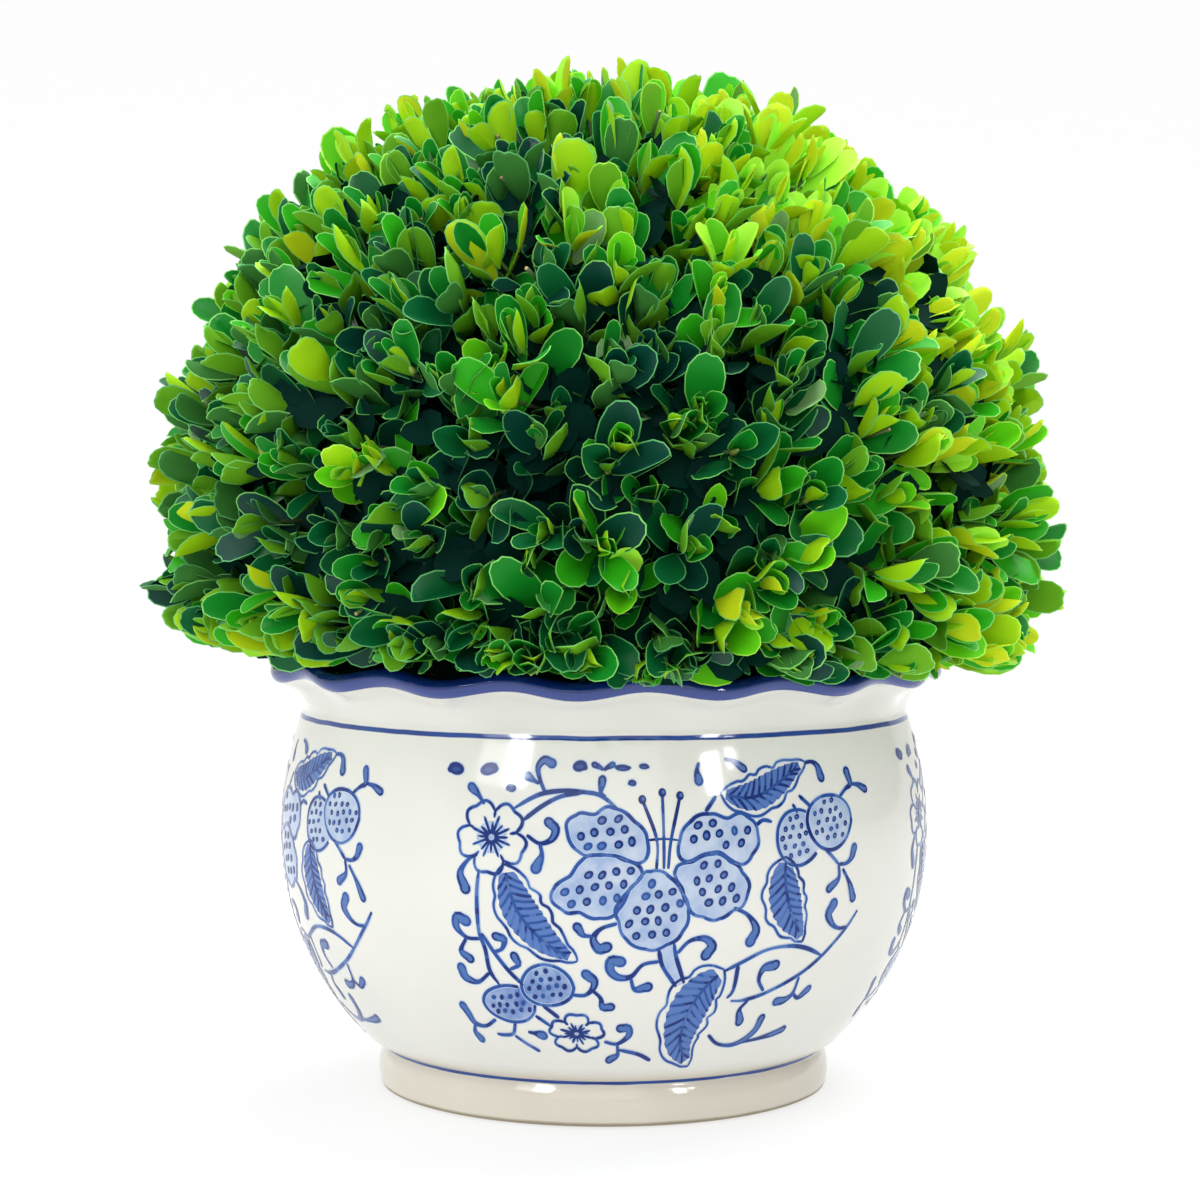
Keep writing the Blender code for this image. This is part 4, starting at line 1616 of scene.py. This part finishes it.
def leaf_frames(leaves):
    """Foot, and the three axes times the length, of each leaf."""
    feet = np.array([tuple(leaf[0]) for leaf in leaves])
    along = np.array([tuple(leaf[1]) for leaf in leaves])
    upper = np.array([tuple(leaf[2]) for leaf in leaves])
    upper -= along * (along * upper).sum(1)[:, None]
    upper /= np.linalg.norm(upper, axis=1)[:, None]
    across = np.cross(along, upper)
    sizes = np.array([leaf[3] for leaf in leaves])
    axes = np.stack((across, along, upper), axis=1) * sizes[:, None, None]
    return feet, axes


def tint_table(leaves, seed):
    """Which finish each leaf's upper side, margin and underside take."""
    chance = random.Random(seed)
    table = np.empty((len(leaves), 3), dtype=np.int32)
    for index, (*_, tone) in enumerate(leaves):
        # The tone holds painted light and shade, so lighter tints go to the top and the right of
        # the ball and darker ones to its front and back
        upper = int(min(5, max(0, round(tone * 5.2 + chance.gauss(0, 0.35)))))
        under = int(min(3, max(0, round(tone * 3.2 + chance.gauss(0, 0.6)))))
        edge = 2 if upper >= 4 else 1 if upper >= 2 else chance.choice((0, 0, 1))
        if chance.random() < 0.02:
            upper = SAGE
        table[index] = (upper, MARGINS + edge, UNDERS + under)
    return table


def leaf_finishes(settings):
    """The leaves' materials, in the order of a tint table's numbers."""
    made = []
    for kind, roughness, shines in (
        ("upper", 0.40, (0.22, 0.22, 0.2, 0.16, 0.14, 0.14)),
        ("under", 0.6, (0.12,) * 4),
        ("edge", 0.45, (0.2,) * 3),
    ):
        for number, shine in enumerate(shines):
            tint = getattr(settings, f"{kind}_{number}")
            made.append(plain_finish(f"leaf_{kind}_{number}", roughness, tint, shine))
    made.append(plain_finish("leaf_sage", 0.5, settings.sage, 0.3))
    return made


def joined_leaves(name, leaves, shapes, faces, finishes, tints):
    """One piece of many leaves, from each leaf's shape and the finish of each of its faces."""
    feet, axes = leaf_frames(leaves)
    points = np.einsum("lpi,lij->lpj", shapes, axes) + feet[:, None, :]
    corners = np.array([corner for face in faces for corner in face])
    offsets = np.arange(len(leaves)) * shapes.shape[1]
    piece = joined_mesh(
        name,
        points.reshape(-1, 3),
        (corners[None] + offsets[:, None]).ravel(),
        np.tile([len(face) for face in faces], len(leaves)),
        finishes,
        tints.ravel(),
    )
    return keep(piece, name, "box_leaf", "foliage_ball")


class TOPIARY_OT_foliage(bpy.types.Operator):
    """Grow the ball's shoots, leaves and buds out to the clipped surface"""

    bl_idname = "topiary.foliage"
    bl_label = "Foliage"

    def execute(self, context):
        settings = context.scene.topiary_foliage
        growth = Growth(context.scene.topiary_stem, settings)
        leaves, shoots, tips = grow_leaves(settings, growth)
        faces, kinds = leaf_corners()
        shapes = np.stack([leaf_shape(*shape) for shape in LEAF_SHAPES])
        finishes = leaf_finishes(settings)
        share = MOST_TRIANGLES // sum(len(face) - 2 for face in faces)
        pieces = math.ceil(len(leaves) / share)
        for number in range(pieces):
            part = leaves[number::pieces]
            chosen = shapes[[leaf[4] for leaf in part]]
            tints = tint_table(part, settings.seed + number)[:, kinds]
            piece = joined_leaves(f"leaves_{number + 1}", part, chosen, faces, finishes, tints)
            piece.data.set_sharp_from_angle(angle=math.radians(70))
        self.shade_leaves(settings)
        self.twigs_and_tips(settings, growth, shoots, tips)
        return {"FINISHED"}

    def shade_leaves(self, settings):
        rows = ((0, 0.05), (0.35, 0.42), (0.7, 0.5), (0.93, 0.3))
        points = [(side * half * 0.62, along, -0.06) for along, half in rows for side in (-1, 1)]
        points.append((0, 1.0, 0))
        faces = [(0, 1, 3, 2), (2, 3, 5, 4), (4, 5, 7, 6), (6, 7, 8)]
        found = inner_leaves(settings, INNER_LEAVES)
        shapes = np.broadcast_to(np.array(points), (len(found), len(points), 3))
        finish = plain_finish("leaf_inner", 0.7, settings.inner, 0.05)
        tints = np.zeros(len(found) * len(faces))
        joined_leaves("inner_leaves", found, shapes, faces, [finish], tints)

    def twigs_and_tips(self, settings, growth, shoots, tips):
        green = plain_finish("green_twig", 0.6, settings.twig)
        parts = growth.twigs + [(path, 0.95 * MM, 0.6 * MM) for path in shoots]
        twigs = joined_tubes("twigs", parts, 5, 9 * MM, [green])
        keep(twigs, "twigs", "box_bark", "foliage_ball")

        chance = random.Random(settings.seed + 4)
        stubs, buds = [], []
        for tip, heading in tips:
            if chance.random() < STUB_SHARE:
                side = astray(heading, chance, 10, 35)
                start = tip - heading * 6 * MM
                end = start + side * chance.uniform(10, 15) * MM
                stubs.append(([start, end], 0.75 * MM, 0.65 * MM))
            elif chance.random() < BUD_SHARE:
                path = [tip + heading * place * MM for place in (-1.5, 1.4, 4)]
                buds.append((path, 1.3 * MM, 0.25 * MM))
        cut = plain_finish("clipped_end", 0.8, settings.cut)
        ends = joined_tubes("clipped_ends", stubs, 6, 8 * MM, [green, cut], end_finish=1)
        keep(ends, "clipped_ends", "box_bark", "foliage_ball")
        piece = joined_tubes("buds", buds, 7, 1.2 * MM, [plain_finish("bud", 0.5, settings.bud)])
        keep(piece, "buds", "box_leaf", "foliage_ball")


# ------------------------------------------------------------------- studio

# In metres
FLOOR_SIDE = 8
FLOOR_LEVEL = -0.3 * MM
BACKDROP_HEIGHT = 6
BACKDROP_CURVE = 1.6
POT_MIDDLE = 0.11

# How far the camera looks down, leans and turns, in degrees
CAMERA_ANGLES = (2.296, -0.16, 0.102)


class TOPIARY_OT_studio(bpy.types.Operator):
    """Set up the pale floor and backdrop, the soft lights and the camera"""

    bl_idname = "topiary.studio"
    bl_label = "Studio"

    def execute(self, context):
        settings = context.scene.topiary_studio
        self.backdrop(settings)
        self.lights(context, settings)
        data = bpy.data.cameras.new("camera")
        camera = bpy.data.objects.new("camera", data)
        context.scene.collection.objects.link(camera)
        camera.location = (0, -settings.distance, settings.height)
        down, lean, turn = CAMERA_ANGLES
        camera.rotation_euler = (math.radians(90 - down), math.radians(lean), math.radians(turn))
        data.lens = settings.lens
        data.sensor_width = 36
        data.clip_start, data.clip_end = 0.05, 50
        context.scene.camera = camera
        context.scene.view_settings.view_transform = "Standard"
        return {"FINISHED"}

    def backdrop(self, settings):
        """A floor whose far edge is drawn up and rounded into a backdrop."""
        fresh()
        bpy.ops.mesh.primitive_plane_add(size=FLOOR_SIDE, location=(0, 0, FLOOR_LEVEL))
        floor = bpy.context.object
        bpy.ops.object.transform_apply(location=True, rotation=True, scale=True)
        bpy.ops.object.mode_set(mode="EDIT")
        far = FLOOR_SIDE * 0.49
        shape = bmesh.from_edit_mesh(floor.data)
        for edge in shape.edges:
            edge.select = all(vertex.co.y > far for vertex in edge.verts)
        shape.select_flush(True)
        bmesh.update_edit_mesh(floor.data)
        bpy.ops.mesh.select_mode(type="EDGE")
        bpy.ops.mesh.extrude_region_move(TRANSFORM_OT_translate={"value": (0, 0, BACKDROP_HEIGHT)})
        shape = bmesh.from_edit_mesh(floor.data)
        for edge in shape.edges:
            edge.select = all(vertex.co.y > far and vertex.co.z < 1 for vertex in edge.verts)
        bmesh.update_edit_mesh(floor.data)
        bpy.ops.mesh.bevel(offset=BACKDROP_CURVE, segments=24, affect="EDGES")
        bpy.ops.object.mode_set(mode="OBJECT")
        bpy.ops.object.shade_smooth()
        floor.name = "floor"
        finish, _, shader = new_finish("pale_floor", 0.9, shine=0.0)
        shader.inputs["Base Color"].default_value = rgba(settings.floor)
        shader.inputs["Emission Color"].default_value = (1, 1, 1, 1)
        shader.inputs["Emission Strength"].default_value = settings.glow
        floor.data.materials.append(finish)

    def lights(self, context, settings):
        """A sky that is brighter overhead and on the left, two soft lights and the windows."""
        world = bpy.data.worlds.new("soft_sky")
        context.scene.world = world
        world.use_nodes = True
        tree = world.node_tree
        sky = tree.nodes["Background"]
        sky.inputs["Color"].default_value = (1, 1, 1, 1)
        place = add_node(tree, "ShaderNodeTexCoord")
        parts = add_node(tree, "ShaderNodeSeparateXYZ", {0: place.outputs["Generated"]})
        height = figure(tree, "MAXIMUM", parts.outputs["Z"], 0.0)
        rise = figure(tree, "MULTIPLY", height, settings.zenith - settings.horizon)
        left = figure(tree, "MULTIPLY", parts.outputs["X"], -settings.slant)
        level = figure(tree, "ADD", figure(tree, "ADD", rise, left), settings.horizon)
        tree.links.new(level, sky.inputs["Strength"])
        self.area("overhead", (0.25, 0.35, 1.5), 0.2, 1.5, 1.3, settings.key)
        self.area("front_fill", (-0.2, -2.2, 0.9), 0.16, 2.0, 1.2, settings.fill)
        for name, place, wide, high, share in (
            ("left", (-0.81, -1.33, 0.78), 0.22, 0.40, 1.0),
            ("left_glow", (-0.98, -1.2, 0.74), 0.30, 0.34, 0.12),
            ("right", (1.01, -1.25, 0.68), 0.17, 0.34, 1.0),
            ("right_side", (1.14, -1.07, 0.76), 0.10, 0.16, 0.5),
        ):
            self.area(f"window_{name}", place, POT_MIDDLE, wide, high, settings.window * share)

    def area(self, name, place, aim, wide, high, radiance):
        """A rectangular light of a given radiance, facing a level on the pot's axis."""
        data = bpy.data.lights.new(name, "AREA")
        data.shape = "RECTANGLE"
        data.size, data.size_y = wide, high
        data.energy = radiance * math.pi * wide * high
        light = bpy.data.objects.new(name, data)
        light.location = place
        light.visible_diffuse = not name.startswith("window")
        way = Vector((0, 0, aim)) - Vector(place)
        light.rotation_euler = way.to_track_quat("-Z", "Y").to_euler()
        bpy.context.scene.collection.objects.link(light)


# -------------------------------------------------------------------- panel


class TOPIARY_PT_parts(bpy.types.Panel):
    """The topiary's parts"""

    bl_idname = "TOPIARY_PT_parts"
    bl_label = "Box topiary ball"
    bl_space_type = "VIEW_3D"
    bl_region_type = "UI"
    bl_category = "Topiary"

    def draw(self, context):
        for operator, _ in PARTS:
            self.layout.operator(operator.bl_idname)


GROUPS = (
    ("topiary_pot", PotSettings),
    ("topiary_painting", PaintingSettings),
    ("topiary_mix", MixSettings),
    ("topiary_stem", StemSettings),
    ("topiary_foliage", FoliageSettings),
    ("topiary_studio", StudioSettings),
)
PARTS = (
    (TOPIARY_OT_studio, bpy.ops.topiary.studio),
    (TOPIARY_OT_pot, bpy.ops.topiary.pot),
    (TOPIARY_OT_painting, bpy.ops.topiary.painting),
    (TOPIARY_OT_potting_mix, bpy.ops.topiary.potting_mix),
    (TOPIARY_OT_stem, bpy.ops.topiary.stem),
    (TOPIARY_OT_foliage, bpy.ops.topiary.foliage),
)


def register():
    for name, group in GROUPS:
        bpy.utils.register_class(group)
        setattr(bpy.types.Scene, name, PointerProperty(type=group))
    for operator, _ in PARTS:
        bpy.utils.register_class(operator)
    bpy.utils.register_class(TOPIARY_PT_parts)


def unregister():
    bpy.utils.unregister_class(TOPIARY_PT_parts)
    for operator, _ in reversed(PARTS):
        bpy.utils.unregister_class(operator)
    for name, group in reversed(GROUPS):
        delattr(bpy.types.Scene, name)
        bpy.utils.unregister_class(group)


def main():
    register()
    for _, make in PARTS:
        make()


if __name__ == "__main__":
    main()
